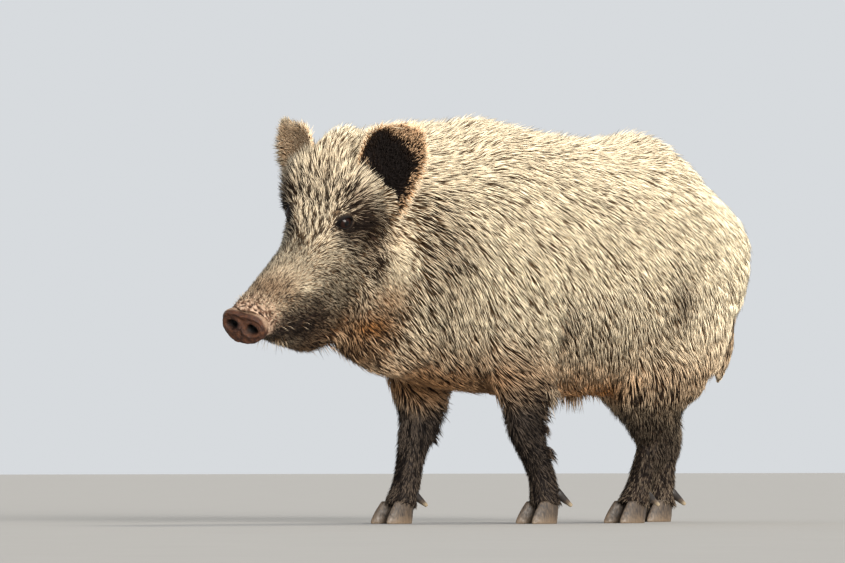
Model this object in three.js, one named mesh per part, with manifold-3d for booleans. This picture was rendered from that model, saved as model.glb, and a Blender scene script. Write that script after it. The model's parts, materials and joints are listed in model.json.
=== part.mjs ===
// A wild boar standing in mid-step, life size, as a still museum model.
//
// Frame: millimetres, +X forward, +Y to the boar's left, +Z up, floor at Z = 0.
// The body is modelled as lofted masses that overlap, joined into one solid, and then
// parted by thin cuts into the pieces a person would name. Sizes include the coat.
import * as THREE from "three";
import { mergeVertices } from "three/addons/utils/BufferGeometryUtils.js";
import Module from "manifold-3d";

const wasm = await Module();
wasm.setup();

// ---- driving dimensions ------------------------------------------------------------
const CUT = 0.4; // width of the cuts that part the body
const ROOM = 0.9; // room left in the flesh round each hard piece
const HEAD_TURN = 17; // degrees, head turned to the boar's left
const HEAD_PITCH = 35; // degrees, snout axis below the horizontal
const HEAD_ROLL = -13; // degrees, right side of the head carried higher
const SNOUT = new THREE.Vector3(834, 107, 341); // centre of the snout disc's face
const TRACK = 85; // each foot's distance from the midline

const COLOURS = {
  coat: 0xb9a684,
  face: 0x9c8a72,
  ear: 0x2d2019,
  leg: 0x35302d,
  disc: 0x7a4e3c,
  eye: 0x1c120c,
  horn: 0x2a2521,
};

// ---- lofting -----------------------------------------------------------------------
const rad = THREE.MathUtils.degToRad;

// Smooth values between key rows. The first number of each row is the station.
function smoothRows(rows) {
  const stations = rows.map((row) => row[0]);
  const values = rows.flatMap((row) => row.slice(1));
  const curve = new THREE.CubicInterpolant(stations, values, rows[0].length - 1);
  return (station) => Array.from(curve.evaluate(station));
}

// Stations from the first key row to the last, evenly spread.
function stationsOf(rows, count) {
  const first = rows[0][0];
  const last = rows[rows.length - 1][0];
  return Array.from({ length: count }, (_, i) => first + ((last - first) * i) / (count - 1));
}

// A closed solid through rings that have the same number of points, capped at both ends.
function loft(rings) {
  const sides = rings[0].length;
  const points = rings.flat();
  const faces = [];
  for (let r = 0; r + 1 < rings.length; r++) {
    for (let s = 0; s < sides; s++) {
      const a = r * sides + s;
      const b = r * sides + ((s + 1) % sides);
      faces.push(a, b, b + sides, a, b + sides, a + sides);
    }
  }
  const cap = (ring, start, flip) => {
    const middle = ring.reduce((sum, p) => sum.add(p), new THREE.Vector3()).divideScalar(sides);
    points.push(middle);
    for (let s = 0; s < sides; s++) {
      const edge = [start + s, start + ((s + 1) % sides)];
      if (flip) edge.reverse();
      faces.push(points.length - 1, edge[0], edge[1]);
    }
  };
  cap(rings[0], 0, true);
  cap(rings[rings.length - 1], (rings.length - 1) * sides, false);
  const geometry = new THREE.BufferGeometry().setFromPoints(points);
  geometry.setIndex(faces);
  return geometry;
}

// A three.js geometry as a manifold solid, turned right side out.
function solidOf(geometry) {
  const bare = geometry.clone();
  for (const name of Object.keys(bare.attributes)) {
    if (name !== "position") bare.deleteAttribute(name);
  }
  const merged = mergeVertices(bare, 1e-3);
  const build = (triVerts) =>
    new wasm.Manifold(
      new wasm.Mesh({
        numProp: 3,
        vertProperties: new Float32Array(merged.attributes.position.array),
        triVerts,
      }),
    );
  const faces = new Uint32Array(merged.index.array);
  const made = build(faces);
  return made.volume() < 0 ? build(faces.reverse()) : made;
}

// A manifold solid back as a three.js geometry.
function geometryOf(solid) {
  const mesh = solid.getMesh();
  const positions = new Float32Array(mesh.numVert * 3);
  for (let i = 0; i < mesh.numVert; i++) {
    positions.set(mesh.vertProperties.subarray(i * mesh.numProp, i * mesh.numProp + 3), i * 3);
  }
  const geometry = new THREE.BufferGeometry();
  geometry.setAttribute("position", new THREE.BufferAttribute(positions, 3));
  geometry.setIndex(new THREE.BufferAttribute(new Uint32Array(mesh.triVerts), 1));
  return geometry;
}

// An egg-shaped section: widest at one height, with its own fullness above and below.
function eggRing(sides, { top, bottom, wide, half, fullTop, fullBottom }, place) {
  return Array.from({ length: sides }, (_, i) => {
    const angle = (2 * Math.PI * (i + 0.5)) / sides;
    const [c, s] = [Math.cos(angle), Math.sin(angle)];
    const power = 2 / (s > 0 ? fullTop : fullBottom);
    const across = half * Math.sign(c) * Math.abs(c) ** power;
    const rise = (s > 0 ? top - wide : wide - bottom) * Math.sign(s) * Math.abs(s) ** power;
    return place(across, wide + rise);
  });
}

// ---- trunk -------------------------------------------------------------------------
// station x, top, bottom, height of the widest level, half width, fullness above, below
const TRUNK = [
  [-394, 492, 420, 455, 26, 2.0, 2.0],
  [-380, 540, 376, 452, 80, 2.0, 2.0],
  [-340, 592, 332, 450, 130, 2.0, 2.1],
  [-285, 640, 292, 448, 162, 2.1, 2.2],
  [-200, 690, 248, 445, 185, 2.1, 2.2],
  [-90, 692, 224, 432, 195, 2.1, 2.2],
  [20, 696, 220, 425, 194, 2.1, 2.2],
  [130, 712, 226, 440, 184, 2.0, 2.1],
  [220, 728, 232, 455, 173, 1.9, 2.1],
  [290, 719, 238, 455, 159, 1.9, 2.1],
  [350, 690, 248, 455, 142, 1.9, 2.0],
  [400, 626, 276, 450, 108, 1.9, 2.0],
  [435, 540, 340, 446, 56, 2.0, 2.0],
];

function trunk() {
  const at = smoothRows(TRUNK);
  const rings = stationsOf(TRUNK, 24).map((x) => {
    const [top, bottom, wide, half, fullTop, fullBottom] = at(x);
    const size = { top, bottom, wide, half, fullTop, fullBottom };
    return eggRing(26, size, (y, z) => new THREE.Vector3(x, y, z));
  });
  return solidOf(loft(rings));
}

// The brush of hair that hangs at the middle of a young male's belly.
function bellyBrush() {
  const cone = new THREE.ConeGeometry(26, 62, 10);
  cone.rotateX(-Math.PI / 2 - rad(6));
  cone.translate(-34, 0, 226);
  return solidOf(cone);
}

// ---- neck --------------------------------------------------------------------------
// Rings stand across a line from the chest to the back of the skull.
// station 0..1, centre x, y, lean of the ring, up, down, half width, fullness
const NECK = [
  [0.0, 250, 0, 0, 238, 222, 140, 2.0],
  [0.2, 320, 1, 1, 236, 238, 148, 2.0],
  [0.4, 386, 5, 3, 217, 246, 144, 2.0],
  [0.6, 448, 12, 6, 192, 254, 132, 2.0],
  [0.8, 518, 20, 9, 128, 254, 106, 2.0],
  [1.0, 580, 32, 12, 30, 240, 70, 2.0],
];
const NECK_AXIS_HEIGHT = 474; // height of the neck's centre line at the chest
const NECK_AXIS_RISE = 60; // and how much it climbs to the skull

function neck() {
  const at = smoothRows(NECK);
  const rings = stationsOf(NECK, 11).map((t) => {
    const [x, y, lean, up, down, half, full] = at(t);
    const turn = new THREE.Euler(0, rad(lean), rad(HEAD_TURN * t));
    const centre = new THREE.Vector3(x, y, NECK_AXIS_HEIGHT + NECK_AXIS_RISE * t);
    const size = { top: up, bottom: -down, wide: 0, half, fullTop: full, fullBottom: full };
    const place = (across, rise) => new THREE.Vector3(0, across, rise).applyEuler(turn).add(centre);
    return eggRing(26, size, place);
  });
  return solidOf(loft(rings));
}

// ---- head --------------------------------------------------------------------------
// The head's own frame: +x along the snout to the disc's face at 0, +y left, +z up.
const headFrame = new THREE.Matrix4()
  .makeRotationFromEuler(new THREE.Euler(rad(HEAD_ROLL), rad(HEAD_PITCH), rad(HEAD_TURN), "ZYX"))
  .setPosition(SNOUT);
const inHead = (solid) => solid.transform(headFrame.elements.slice());

// station x behind the disc, top, bottom, height of the widest level, half width, fullness
const HEAD = [
  [-482, 92, -50, -10, 66, 1.9, 2.0],
  [-462, 120, -100, -28, 90, 1.8, 2.0],
  [-430, 136, -148, -44, 104, 1.7, 2.0],
  [-390, 134, -176, -52, 107, 1.75, 2.1],
  [-350, 118, -190, -44, 104, 2.3, 2.1],
  [-315, 92, -196, -40, 93, 2.4, 2.2],
  [-288, 56, -194, -38, 80, 2.4, 2.2],
  [-260, 26, -188, -36, 69, 2.3, 2.2],
  [-225, 17, -180, -36, 61, 2.2, 2.3],
  [-190, 19, -168, -34, 56, 2.2, 2.3],
  [-150, 23, -148, -30, 52, 2.2, 2.3],
  [-100, 25, -104, -24, 47, 2.3, 2.3],
  [-60, 27, -60, -14, 42, 2.3, 2.3],
  [-30, 29, -40, -6, 39, 2.3, 2.3],
  [-8, 30, -34, -2, 37, 2.3, 2.3],
];

function skull() {
  const at = smoothRows(HEAD);
  const rings = stationsOf(HEAD, 24).map((x) => {
    const [top, bottom, wide, half, fullTop, fullBottom] = at(x);
    const size = { top, bottom, wide, half, fullTop, fullBottom };
    return eggRing(24, size, (y, z) => new THREE.Vector3(x, y, z));
  });
  return inHead(solidOf(loft(rings)));
}

// The snout disc: a broad bare pad, a little wider than high, leaning back at the top.
const DISC = { halfWidth: 41, halfHeight: 30, thick: 20, lean: -8 };
const NOSTRIL = { across: 17, rise: -1, halfWidth: 9.5, halfHeight: 7, deep: 12 };

function snoutDisc() {
  const rings = [
    [-DISC.thick, 0.86],
    [-DISC.thick + 5, 0.94],
    [-7, 1.0],
    [-2, 0.97],
    [0, 0.86],
  ].map(([x, grow]) => {
    const high = DISC.halfHeight * grow;
    const half = DISC.halfWidth * grow;
    const size = { top: high, bottom: -high, wide: 3 * grow, half, fullTop: 2.4, fullBottom: 2.1 };
    return eggRing(22, size, (y, z) => new THREE.Vector3(x, y, z));
  });
  const lean = new THREE.Matrix4().makeRotationY(rad(DISC.lean));
  let disc = solidOf(loft(rings)).transform(lean.elements.slice());
  for (const side of [1, -1]) {
    const pit = new THREE.SphereGeometry(1, 10, 6);
    pit.scale(NOSTRIL.deep, NOSTRIL.halfWidth, NOSTRIL.halfHeight);
    pit.rotateY(rad(DISC.lean));
    pit.translate(0, side * NOSTRIL.across, NOSTRIL.rise);
    disc = disc.subtract(solidOf(pit));
  }
  return inHead(disc);
}

// ---- eyes --------------------------------------------------------------------------
const EYE = { behind: 292, across: 56, rise: 34, radius: 12.5 };

function eye(side) {
  const ball = new THREE.SphereGeometry(EYE.radius, 12, 7);
  ball.translate(-EYE.behind, side * EYE.across, EYE.rise);
  return inHead(solidOf(ball));
}

// ---- ears --------------------------------------------------------------------------
// A cupped leaf on a line from its root to its tip, with the hollow facing forward and out.
// The outer edge starts lower on the head than the inner one.
const EARS = {
  left: { side: 1, root: [-358, 58, -22], tall: 204, outward: 28, back: 8, face: 34, skew: 44 },
  right: { side: -1, root: [-386, -62, -8], tall: 152, outward: 27, back: 8, face: 32, skew: 34 },
};
// station 0..1 from root to tip, half width, hollow depth, half thickness
const EAR_SHAPE = [
  [0.0, 38, 22, 8],
  [0.2, 50, 26, 7],
  [0.45, 58, 22, 6],
  [0.7, 53, 14, 5],
  [0.88, 34, 7, 4.5],
  [1.0, 10, 2, 3.5],
];

function ear({ side, root, tall, outward, back, face, skew }) {
  const at = smoothRows(EAR_SHAPE);
  const steps = 7;
  const rings = stationsOf(EAR_SHAPE, 10).map((t) => {
    const [half, hollow, thick] = at(t);
    const wall = (i, out) => {
      const u = -1 + (2 * i) / steps;
      const depth = -hollow * (1 - u * u) - out * thick * (1 - 0.45 * u * u);
      return new THREE.Vector3(depth, half * u, tall * t - side * skew * (1 - t) * u);
    };
    const outer = Array.from({ length: steps + 1 }, (_, i) => wall(i, 1));
    const inner = Array.from({ length: steps + 1 }, (_, i) => wall(steps - i, -1));
    return [...outer, ...inner];
  });
  const leaf = loft(rings);
  leaf.rotateZ(rad(side * face));
  leaf.rotateX(rad(-side * outward));
  leaf.rotateY(rad(18 - back - HEAD_PITCH));
  leaf.translate(...root);
  return inHead(solidOf(leaf));
}

// ---- legs --------------------------------------------------------------------------
// station height above the floor, then x and y of the centre line, half size fore and aft,
// half size across. y is the distance from the midline.
const LEFT_FORE = [
  [30, 116, 85, 33, 33],
  [62, 117, 85, 28, 28],
  [100, 130, 86, 27, 26],
  [155, 160, 89, 35, 31],
  [194, 176, 94, 43, 35],
  [222, 173, 98, 60, 41],
  [275, 184, 104, 78, 50],
  [350, 212, 108, 96, 58],
  [470, 246, 100, 104, 58],
  [580, 262, 80, 60, 40],
];
const RIGHT_FORE = [
  [30, 310, 85, 33, 33],
  [64, 296, 85, 28, 28],
  [95, 289, 86, 27, 26],
  [146, 274, 90, 33, 30],
  [182, 256, 96, 45, 36],
  [218, 247, 100, 58, 42],
  [275, 246, 104, 78, 50],
  [350, 252, 108, 96, 58],
  [470, 262, 100, 104, 58],
  [580, 268, 80, 60, 40],
];
const LEFT_HIND = [
  [30, -96, 85, 34, 33],
  [60, -110, 86, 27, 27],
  [98, -118, 90, 25, 25],
  [152, -150, 95, 49, 32],
  [182, -138, 100, 63, 39],
  [224, -130, 108, 90, 49],
  [270, -142, 113, 114, 58],
  [340, -165, 112, 132, 66],
  [440, -215, 100, 116, 70],
  [540, -240, 80, 60, 44],
];
const RIGHT_HIND = [
  [30, -318, 85, 34, 33],
  [60, -328, 86, 27, 27],
  [98, -330, 90, 25, 25],
  [157, -338, 95, 46, 32],
  [195, -316, 100, 58, 39],
  [240, -292, 108, 84, 50],
  [280, -274, 113, 104, 58],
  [340, -252, 112, 118, 66],
  [440, -240, 100, 112, 70],
  [540, -244, 80, 60, 44],
];
const LEG_SIDES = 14;

function limb(rows, side) {
  const at = smoothRows(rows);
  const step = 1;
  const rings = stationsOf(rows, 20).map((z) => {
    const [x, y, fore, across] = at(z);
    const slope = (at(z + step)[0] - at(z - step)[0]) / (2 * step);
    const ahead = new THREE.Vector3(1, 0, -slope).normalize();
    const centre = new THREE.Vector3(x, side * y, z);
    return Array.from({ length: LEG_SIDES }, (_, i) => {
      const angle = (2 * Math.PI * i) / LEG_SIDES;
      return centre
        .clone()
        .addScaledVector(ahead, fore * Math.cos(angle))
        .add(new THREE.Vector3(0, across * Math.sin(angle), 0));
    });
  });
  return solidOf(loft(rings));
}

// ---- hooves ------------------------------------------------------------------------
// Each foot has two hooves that carry it and two dewclaws behind the fetlock.
const HOOF = { long: 66, wide: 30, tall: 40, splay: 7, apart: 17.5, ahead: 16 };

// One level of a hoof: round at the heel and pointed at the toe.
function hoofRing(z, shrink, shift) {
  const count = 12;
  return Array.from({ length: count }, (_, i) => {
    const angle = (2 * Math.PI * i) / count;
    const point = 0.5 + 0.5 * Math.cos(angle);
    const x = (HOOF.long / 2) * shrink * Math.cos(angle) + shift;
    const y = (HOOF.wide / 2) * shrink * Math.sin(angle) * (1 - 0.42 * point * point);
    return new THREE.Vector3(x, y, z);
  });
}

function hoof(foot, side, toe) {
  const rings = [
    [0, 0.97, 2],
    [4, 1.0, 2],
    [16, 0.94, -2],
    [28, 0.84, -7],
    [HOOF.tall, 0.7, -12],
  ].map(([z, shrink, shift]) => hoofRing(z, shrink, shift));
  const claw = loft(rings);
  claw.rotateZ(rad(toe * HOOF.splay));
  claw.translate(foot.x + HOOF.ahead, side * TRACK + toe * HOOF.apart, 0);
  return solidOf(claw);
}

const DEWCLAW = { long: 40, radius: 10.5, behind: 30, apart: 17, height: 44, droop: 38 };

function dewclaw(foot, side, toe) {
  const cone = new THREE.CylinderGeometry(3.5, DEWCLAW.radius, DEWCLAW.long, 9);
  cone.rotateZ(Math.PI / 2);
  cone.rotateY(rad(-DEWCLAW.droop));
  cone.rotateZ(rad(-toe * 14));
  cone.translate(foot.x - DEWCLAW.behind, side * TRACK + toe * DEWCLAW.apart, DEWCLAW.height);
  return solidOf(cone);
}

// ---- tail --------------------------------------------------------------------------
// station, x, z of the centre line, half size fore and aft, half size across
const TAIL = [
  [0.0, -372, 556, 22, 24],
  [0.2, -404, 505, 24, 26],
  [0.45, -412, 430, 19, 21],
  [0.65, -404, 360, 19, 21],
  [0.8, -396, 315, 23, 24],
  [0.92, -390, 278, 15, 15],
  [1.0, -386, 252, 5, 5],
];

function tail() {
  const at = smoothRows(TAIL);
  const sides = 10;
  const rings = stationsOf(TAIL, 14).map((t) => {
    const [x, z, fore, across] = at(t);
    return Array.from({ length: sides }, (_, i) => {
      const angle = (2 * Math.PI * i) / sides;
      const back = fore * Math.cos(angle);
      return new THREE.Vector3(x + back, across * Math.sin(angle), z + 0.3 * back);
    });
  });
  return solidOf(loft(rings));
}

// ---- parting the body --------------------------------------------------------------
const FEET = {
  fore_left: { side: 1, rows: LEFT_FORE },
  fore_right: { side: -1, rows: RIGHT_FORE },
  hind_left: { side: 1, rows: LEFT_HIND },
  hind_right: { side: -1, rows: RIGHT_HIND },
};
for (const foot of Object.values(FEET)) foot.x = foot.rows[0][1];

// The same solid a little larger all round, to leave a gap beside a neighbour.
function grown(solid, gap = CUT) {
  const { min, max } = solid.boundingBox();
  const middle = min.map((low, k) => (low + max[k]) / 2);
  const scale = min.map((low, k) => 1 + (2 * gap) / (max[k] - low));
  return solid.translate(middle.map((m) => -m)).scale(scale).translate(middle);
}

// The body of most volume, leaving out slivers that a cut may leave.
function mainBody(solid) {
  const bodies = solid.simplify(0.25).decompose();
  return bodies.reduce((best, body) => (body.volume() > best.volume() ? body : best));
}

// A block whose one face passes through a point, square to a direction, with the block
// lying on the side the direction points to. "far" is how far it reaches on every side.
function block(point, direction, far) {
  const box = new THREE.BoxGeometry(2 * far, 2 * far, far);
  box.translate(0, 0, far / 2);
  const up = new THREE.Vector3(0, 0, 1);
  const turn = new THREE.Quaternion().setFromUnitVectors(up, new THREE.Vector3(...direction).normalize());
  box.applyQuaternion(turn);
  box.translate(...point);
  return solidOf(box);
}

// Splits a solid by a block into what lies inside and what lies outside, a cut apart.
function part(solid, tool) {
  return [mainBody(solid.intersect(tool)), mainBody(solid.subtract(grown(tool)))];
}

const pieces = new Map(); // name: { solid, colour }
const put = (name, solid, colour) => pieces.set(name, { solid, colour });

const hard = [];
for (const [name, foot] of Object.entries(FEET)) {
  for (const [toeName, toe] of [["inner", -foot.side], ["outer", foot.side]]) {
    const claw = hoof(foot, foot.side, toe);
    const spur = dewclaw(foot, foot.side, toe);
    put(`hoof_${name}_${toeName}`, claw, COLOURS.horn);
    put(`dewclaw_${name}_${toeName}`, spur, COLOURS.horn);
    hard.push(claw, spur);
  }
}
for (const [name, side] of [["left", 1], ["right", -1]]) {
  const ball = eye(side);
  put(`eye_${name}`, ball, COLOURS.eye);
  hard.push(ball);
}
const disc = snoutDisc();
put("snout_disc", disc, COLOURS.disc);
hard.push(disc);

const skullSolid = skull();
const trunkSolid = trunk();
let flesh = trunkSolid.add(bellyBrush()).add(neck()).add(skullSolid);
for (const foot of Object.values(FEET)) flesh = flesh.add(limb(foot.rows, foot.side));
for (const solid of hard) flesh = flesh.subtract(grown(solid, ROOM));

put("tail", mainBody(tail().subtract(grown(trunkSolid))), COLOURS.coat);
for (const [name, shape] of Object.entries(EARS)) {
  put(`ear_${name}`, mainBody(ear(shape).subtract(grown(flesh))), COLOURS.ear);
}

// Each leg leaves the body along a plane that climbs outwards under the belly.
const LEG_CUT = { inside: 34, height: 200, climb: 32 };
for (const [name, foot] of Object.entries(FEET)) {
  const climb = rad(LEG_CUT.climb);
  const down = [0, foot.side * Math.sin(climb), -Math.cos(climb)];
  const under = block([foot.x, foot.side * LEG_CUT.inside, LEG_CUT.height], down, 600);
  const middle = 0.3 * foot.x + 0.7 * foot.rows[6][1];
  const reach = new THREE.BoxGeometry(340, 400, 800);
  reach.translate(middle, foot.side * (200 + LEG_CUT.inside), 0);
  const [leg, rest] = part(flesh, under.intersect(solidOf(reach)));
  const [end, sideName] = name.split("_");
  put(`${end}leg_${sideName}`, leg, COLOURS.leg);
  flesh = rest;
}

// The head leaves the neck behind the ears, and the neck the trunk ahead of the shoulders.
const turned = rad(HEAD_TURN * 0.8);
const [head, body] = part(flesh, block([484, 10, 500], [Math.cos(turned), Math.sin(turned), 0.06], 900));
put("head", head, COLOURS.face);
const [neckPiece, trunkPiece] = part(body, block([352, 0, 480], [1, 0, 0.05], 900));
put("neck", neckPiece, COLOURS.coat);
put("trunk", trunkPiece, COLOURS.coat);

// ---- the model ---------------------------------------------------------------------
// The origin is put on the floor at the middle of the bounding box.
const boxes = [...pieces.values()].map(({ solid }) => solid.boundingBox());
const low = [0, 1, 2].map((k) => Math.min(...boxes.map((box) => box.min[k])));
const high = [0, 1, 2].map((k) => Math.max(...boxes.map((box) => box.max[k])));
const shift = [-(low[0] + high[0]) / 2, -(low[1] + high[1]) / 2, -low[2]];

const boar = new THREE.Group();
for (const [name, { solid, colour }] of pieces) {
  const material = new THREE.MeshStandardMaterial({ color: colour, roughness: 0.8, metalness: 0 });
  const mesh = new THREE.Mesh(geometryOf(solid.translate(shift)), material);
  mesh.name = name;
  boar.add(mesh);
}

export default boar;
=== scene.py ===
# %% [markdown]
# # A wild boar, life size
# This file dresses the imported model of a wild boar: one smooth skin takes the place of the flesh
# solids, and about 160,000 small closed tufts make the coat. Everything is in metres. The animal
# looks along +X, its left side is +Y, and it stands on the floor at Z = 0.

import json
import math
import bpy
import numpy as np
from mathutils import Matrix, Vector
from mathutils.bvhtree import BVHTree

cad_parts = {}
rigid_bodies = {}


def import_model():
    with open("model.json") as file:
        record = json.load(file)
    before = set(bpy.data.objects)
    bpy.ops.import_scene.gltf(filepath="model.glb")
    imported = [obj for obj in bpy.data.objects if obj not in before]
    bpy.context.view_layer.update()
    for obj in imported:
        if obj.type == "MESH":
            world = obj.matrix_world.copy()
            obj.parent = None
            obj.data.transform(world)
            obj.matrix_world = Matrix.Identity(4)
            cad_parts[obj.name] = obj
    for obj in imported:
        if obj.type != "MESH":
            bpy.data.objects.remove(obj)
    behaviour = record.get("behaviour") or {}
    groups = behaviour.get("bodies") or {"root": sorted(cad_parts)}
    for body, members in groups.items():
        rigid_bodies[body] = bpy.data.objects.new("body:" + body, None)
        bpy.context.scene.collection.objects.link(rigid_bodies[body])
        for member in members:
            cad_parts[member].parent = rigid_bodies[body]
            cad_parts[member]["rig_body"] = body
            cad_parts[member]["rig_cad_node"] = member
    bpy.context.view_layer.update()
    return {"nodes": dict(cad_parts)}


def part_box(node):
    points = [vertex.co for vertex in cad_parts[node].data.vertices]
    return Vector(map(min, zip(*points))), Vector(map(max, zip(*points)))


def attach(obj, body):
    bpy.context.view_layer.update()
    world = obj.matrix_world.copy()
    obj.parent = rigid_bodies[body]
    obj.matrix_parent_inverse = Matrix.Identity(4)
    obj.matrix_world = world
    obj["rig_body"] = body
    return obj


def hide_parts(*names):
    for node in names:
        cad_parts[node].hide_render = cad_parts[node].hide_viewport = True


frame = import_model()
print("CAD nodes:", len(frame["nodes"]))

# %% [markdown]
# ## The head's own axes
# The head is turned, nodded and tilted, so its parts are easier to place on axes of its own: x runs
# out along the snout and is 0 at the disc, y is the head's left and z its top. One matrix takes
# such a point to the room. The same three turns made the solid, so both agree.

# %% Head axes
HEAD_TURN, HEAD_PITCH, HEAD_ROLL = math.radians(17), math.radians(35), math.radians(-13)
SNOUT = Vector((0.623954, 0.107, 0.341))
HEAD = Matrix.Translation(SNOUT) @ (
    Matrix.Rotation(HEAD_TURN, 4, "Z") @ Matrix.Rotation(HEAD_PITCH, 4, "Y")
    @ Matrix.Rotation(HEAD_ROLL, 4, "X"))
HEAD_PLACE = np.array(HEAD)[:3, 3]
HEAD_WAYS = np.array(HEAD)[:3, :3]


def to_head(points):
    """Places in the room, told on the head's own axes."""
    return (points - HEAD_PLACE) @ HEAD_WAYS


def from_head(points):
    """Places on the head's own axes, told in the room."""
    return points @ HEAD_WAYS.T + HEAD_PLACE


print("snout disc at", tuple(round(c, 3) for c in SNOUT))

# %% [markdown]
# ## Soft shapes in numbers
# An animal has no hard borders: swells, markings and the depth of the coat all fade into each
# other. These few functions make the fades. They work on whole arrays of places at once, because
# the skin has tens of thousands of points, and moving those one by one would be slow.

# %% Soft shapes
def unit(v):
    """Each row made one long."""
    return v / np.maximum(np.linalg.norm(v, axis=-1, keepdims=True), 1e-9)


def smooth(low, high, x):
    """A soft step from 0 at low to 1 at high."""
    t = np.clip((np.asarray(x, float) - low) / (high - low), 0, 1)
    return t * t * (3 - 2 * t)


def blob(points, centre, reach):
    """1 at the centre, fading to 0 all round; reach says how far along each axis."""
    return np.exp(-(((points - np.array(centre)) / np.array(reach)) ** 2).sum(1))


def one_side(points):
    """The points, with those of the right side laid over onto the left."""
    return np.c_[points[:, 0], np.abs(points[:, 1]), points[:, 2]]


WAVES, WAVE_PEAK = 14, 4.2


def ripple(points, size, seed):
    """A soft random field from -1 to 1 whose swells are about size across: crossed sine waves."""
    rng = np.random.default_rng(seed)
    total = np.zeros(len(points))
    for _ in range(WAVES):
        way = unit(rng.normal(size=3))
        pace = 2 * math.pi / (size * rng.uniform(0.7, 1.5))
        total += np.sin(points @ way * pace + rng.uniform(0, 6.28))
    return np.clip(total / WAVE_PEAK, -1, 1)


print("a soft step at a quarter of its way:", float(smooth(0, 1, 0.25)))

# %% [markdown]
# ## Working on meshes
# Points are read and written as arrays, and the mesh tools that need edit mode all go through one
# function. Ears, lids and the snout disc are built as rings of corners with bands of triangles
# between them, so that each is a closed mesh that faces outward.

# %% Mesh helpers
def only(obj):
    """Makes the object the one that is selected and active."""
    bpy.ops.object.select_all(action="DESELECT")
    obj.select_set(True)
    bpy.context.view_layer.objects.active = obj


def in_edit_mode(obj, tool, **settings):
    """Runs one of edit mode's tools on the whole mesh."""
    only(obj)
    bpy.ops.object.mode_set(mode="EDIT")
    bpy.ops.mesh.select_all(action="SELECT")
    tool(**settings)
    bpy.ops.object.mode_set(mode="OBJECT")


def join(pieces, onto):
    """Joins the pieces into one of them."""
    bpy.ops.object.select_all(action="DESELECT")
    for piece in pieces:
        piece.select_set(True)
    bpy.context.view_layer.objects.active = onto
    bpy.ops.object.join()


def mesh_object(name, verts, faces):
    """A mesh of triangles from arrays: faces holds three corner numbers in each row."""
    me = bpy.data.meshes.new(name)
    me.vertices.add(len(verts))
    me.vertices.foreach_set("co", np.asarray(verts, np.float32).ravel())
    me.loops.add(faces.size)
    me.loops.foreach_set("vertex_index", faces.astype(np.int32).ravel())
    me.polygons.add(len(faces))
    me.polygons.foreach_set("loop_start", np.arange(0, faces.size, 3, dtype=np.int32))
    me.update(calc_edges=True)
    me.validate()
    obj = bpy.data.objects.new(name, me)
    bpy.context.scene.collection.objects.link(obj)
    return obj


def ring_band(first, second, around):
    """Triangles between two rings, told by the number of each ring's first corner."""
    i = np.arange(around)
    j = (i + 1) % around
    return np.concatenate([np.c_[first + i, first + j, second + j],
                           np.c_[first + i, second + j, second + i]])


def ring_cap(first, middle, around):
    """Triangles from a ring to one corner in its middle."""
    i = np.arange(around)
    j = (i + 1) % around
    return np.c_[first + i, first + j, np.full(around, middle)]


def tube_faces(rows, around):
    """Bands between all the rings of a tube, and caps to two corners that come after the rings."""
    bands = [ring_band(r * around, (r + 1) * around, around) for r in range(rows - 1)]
    return [*bands, ring_cap(0, rows * around, around)[:, [1, 0, 2]],
            ring_cap((rows - 1) * around, rows * around + 1, around)]


def closed_mesh(name, verts, faces):
    """A mesh from bands and caps, with all its faces turned outward."""
    obj = mesh_object(name, verts, np.concatenate(faces))
    in_edit_mode(obj, bpy.ops.mesh.normals_make_consistent, inside=False)
    return obj


def coords(obj):
    """All points of a mesh, one in each row."""
    co = np.empty(len(obj.data.vertices) * 3, np.float32)
    obj.data.vertices.foreach_get("co", co)
    return co.reshape(-1, 3).astype(float)


def set_coords(obj, co):
    """Moves all points of a mesh to new places."""
    obj.data.vertices.foreach_set("co", co.astype(np.float32).ravel())
    obj.data.update()


def normals(obj):
    """The outward direction at each point of a mesh."""
    n = np.empty(len(obj.data.vertices) * 3, np.float32)
    obj.data.vertex_normals.foreach_get("vector", n)
    return n.reshape(-1, 3).astype(float)


def set_float(obj, name, values):
    """One number per vertex, kept on the mesh under a name for the materials to read."""
    me = obj.data
    layer = me.attributes.get(name) or me.attributes.new(name, "FLOAT", "POINT")
    layer.data.foreach_set("value", np.asarray(values, np.float32))


print("triangles round a cap of 8:", len(ring_cap(0, 8, 8)))

# %% [markdown]
# ## Camera
# A long lens stands far away and low down, ahead of the animal's left shoulder. It looks slightly
# upwards from just above the ground, so the legs stand tall against the backdrop. AIM_RIGHT and
# AIM_UP are how far it looks aside and up for each metre ahead.

# %% Camera
AZIMUTH = math.radians(42)
forward = Vector((-math.sin(AZIMUTH), -math.cos(AZIMUTH), 0))
right = Vector((-math.cos(AZIMUTH), math.sin(AZIMUTH), 0))
AIM_RIGHT, AIM_UP = -0.0179352, 0.0224736
AWAY, SHIFT_X, LENS_HEIGHT = 14, -0.210, 0.12
look = (forward + right * AIM_RIGHT + Vector((0, 0, 1)) * AIM_UP).normalized()
cam_data = bpy.data.cameras.new("camera")
cam_data.sensor_width = 36
cam_data.lens = 331.4
cam_data.clip_end = 200
camera = bpy.data.objects.new("camera", cam_data)
camera.location = (AWAY * math.sin(AZIMUTH) + SHIFT_X, AWAY * math.cos(AZIMUTH), LENS_HEIGHT)
camera.rotation_euler = look.to_track_quat("-Z", "Y").to_euler()
bpy.context.scene.collection.objects.link(camera)
bpy.context.scene.camera = camera
print("camera at", tuple(round(c, 2) for c in camera.location))

# %% [markdown]
# ## Node helpers
# Materials are built from small nodes: mixes of two colours, sums, soft ramps and noise. Each
# helper adds one node, sets it and hands back its output, so a finish reads as a few plain lines.

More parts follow.
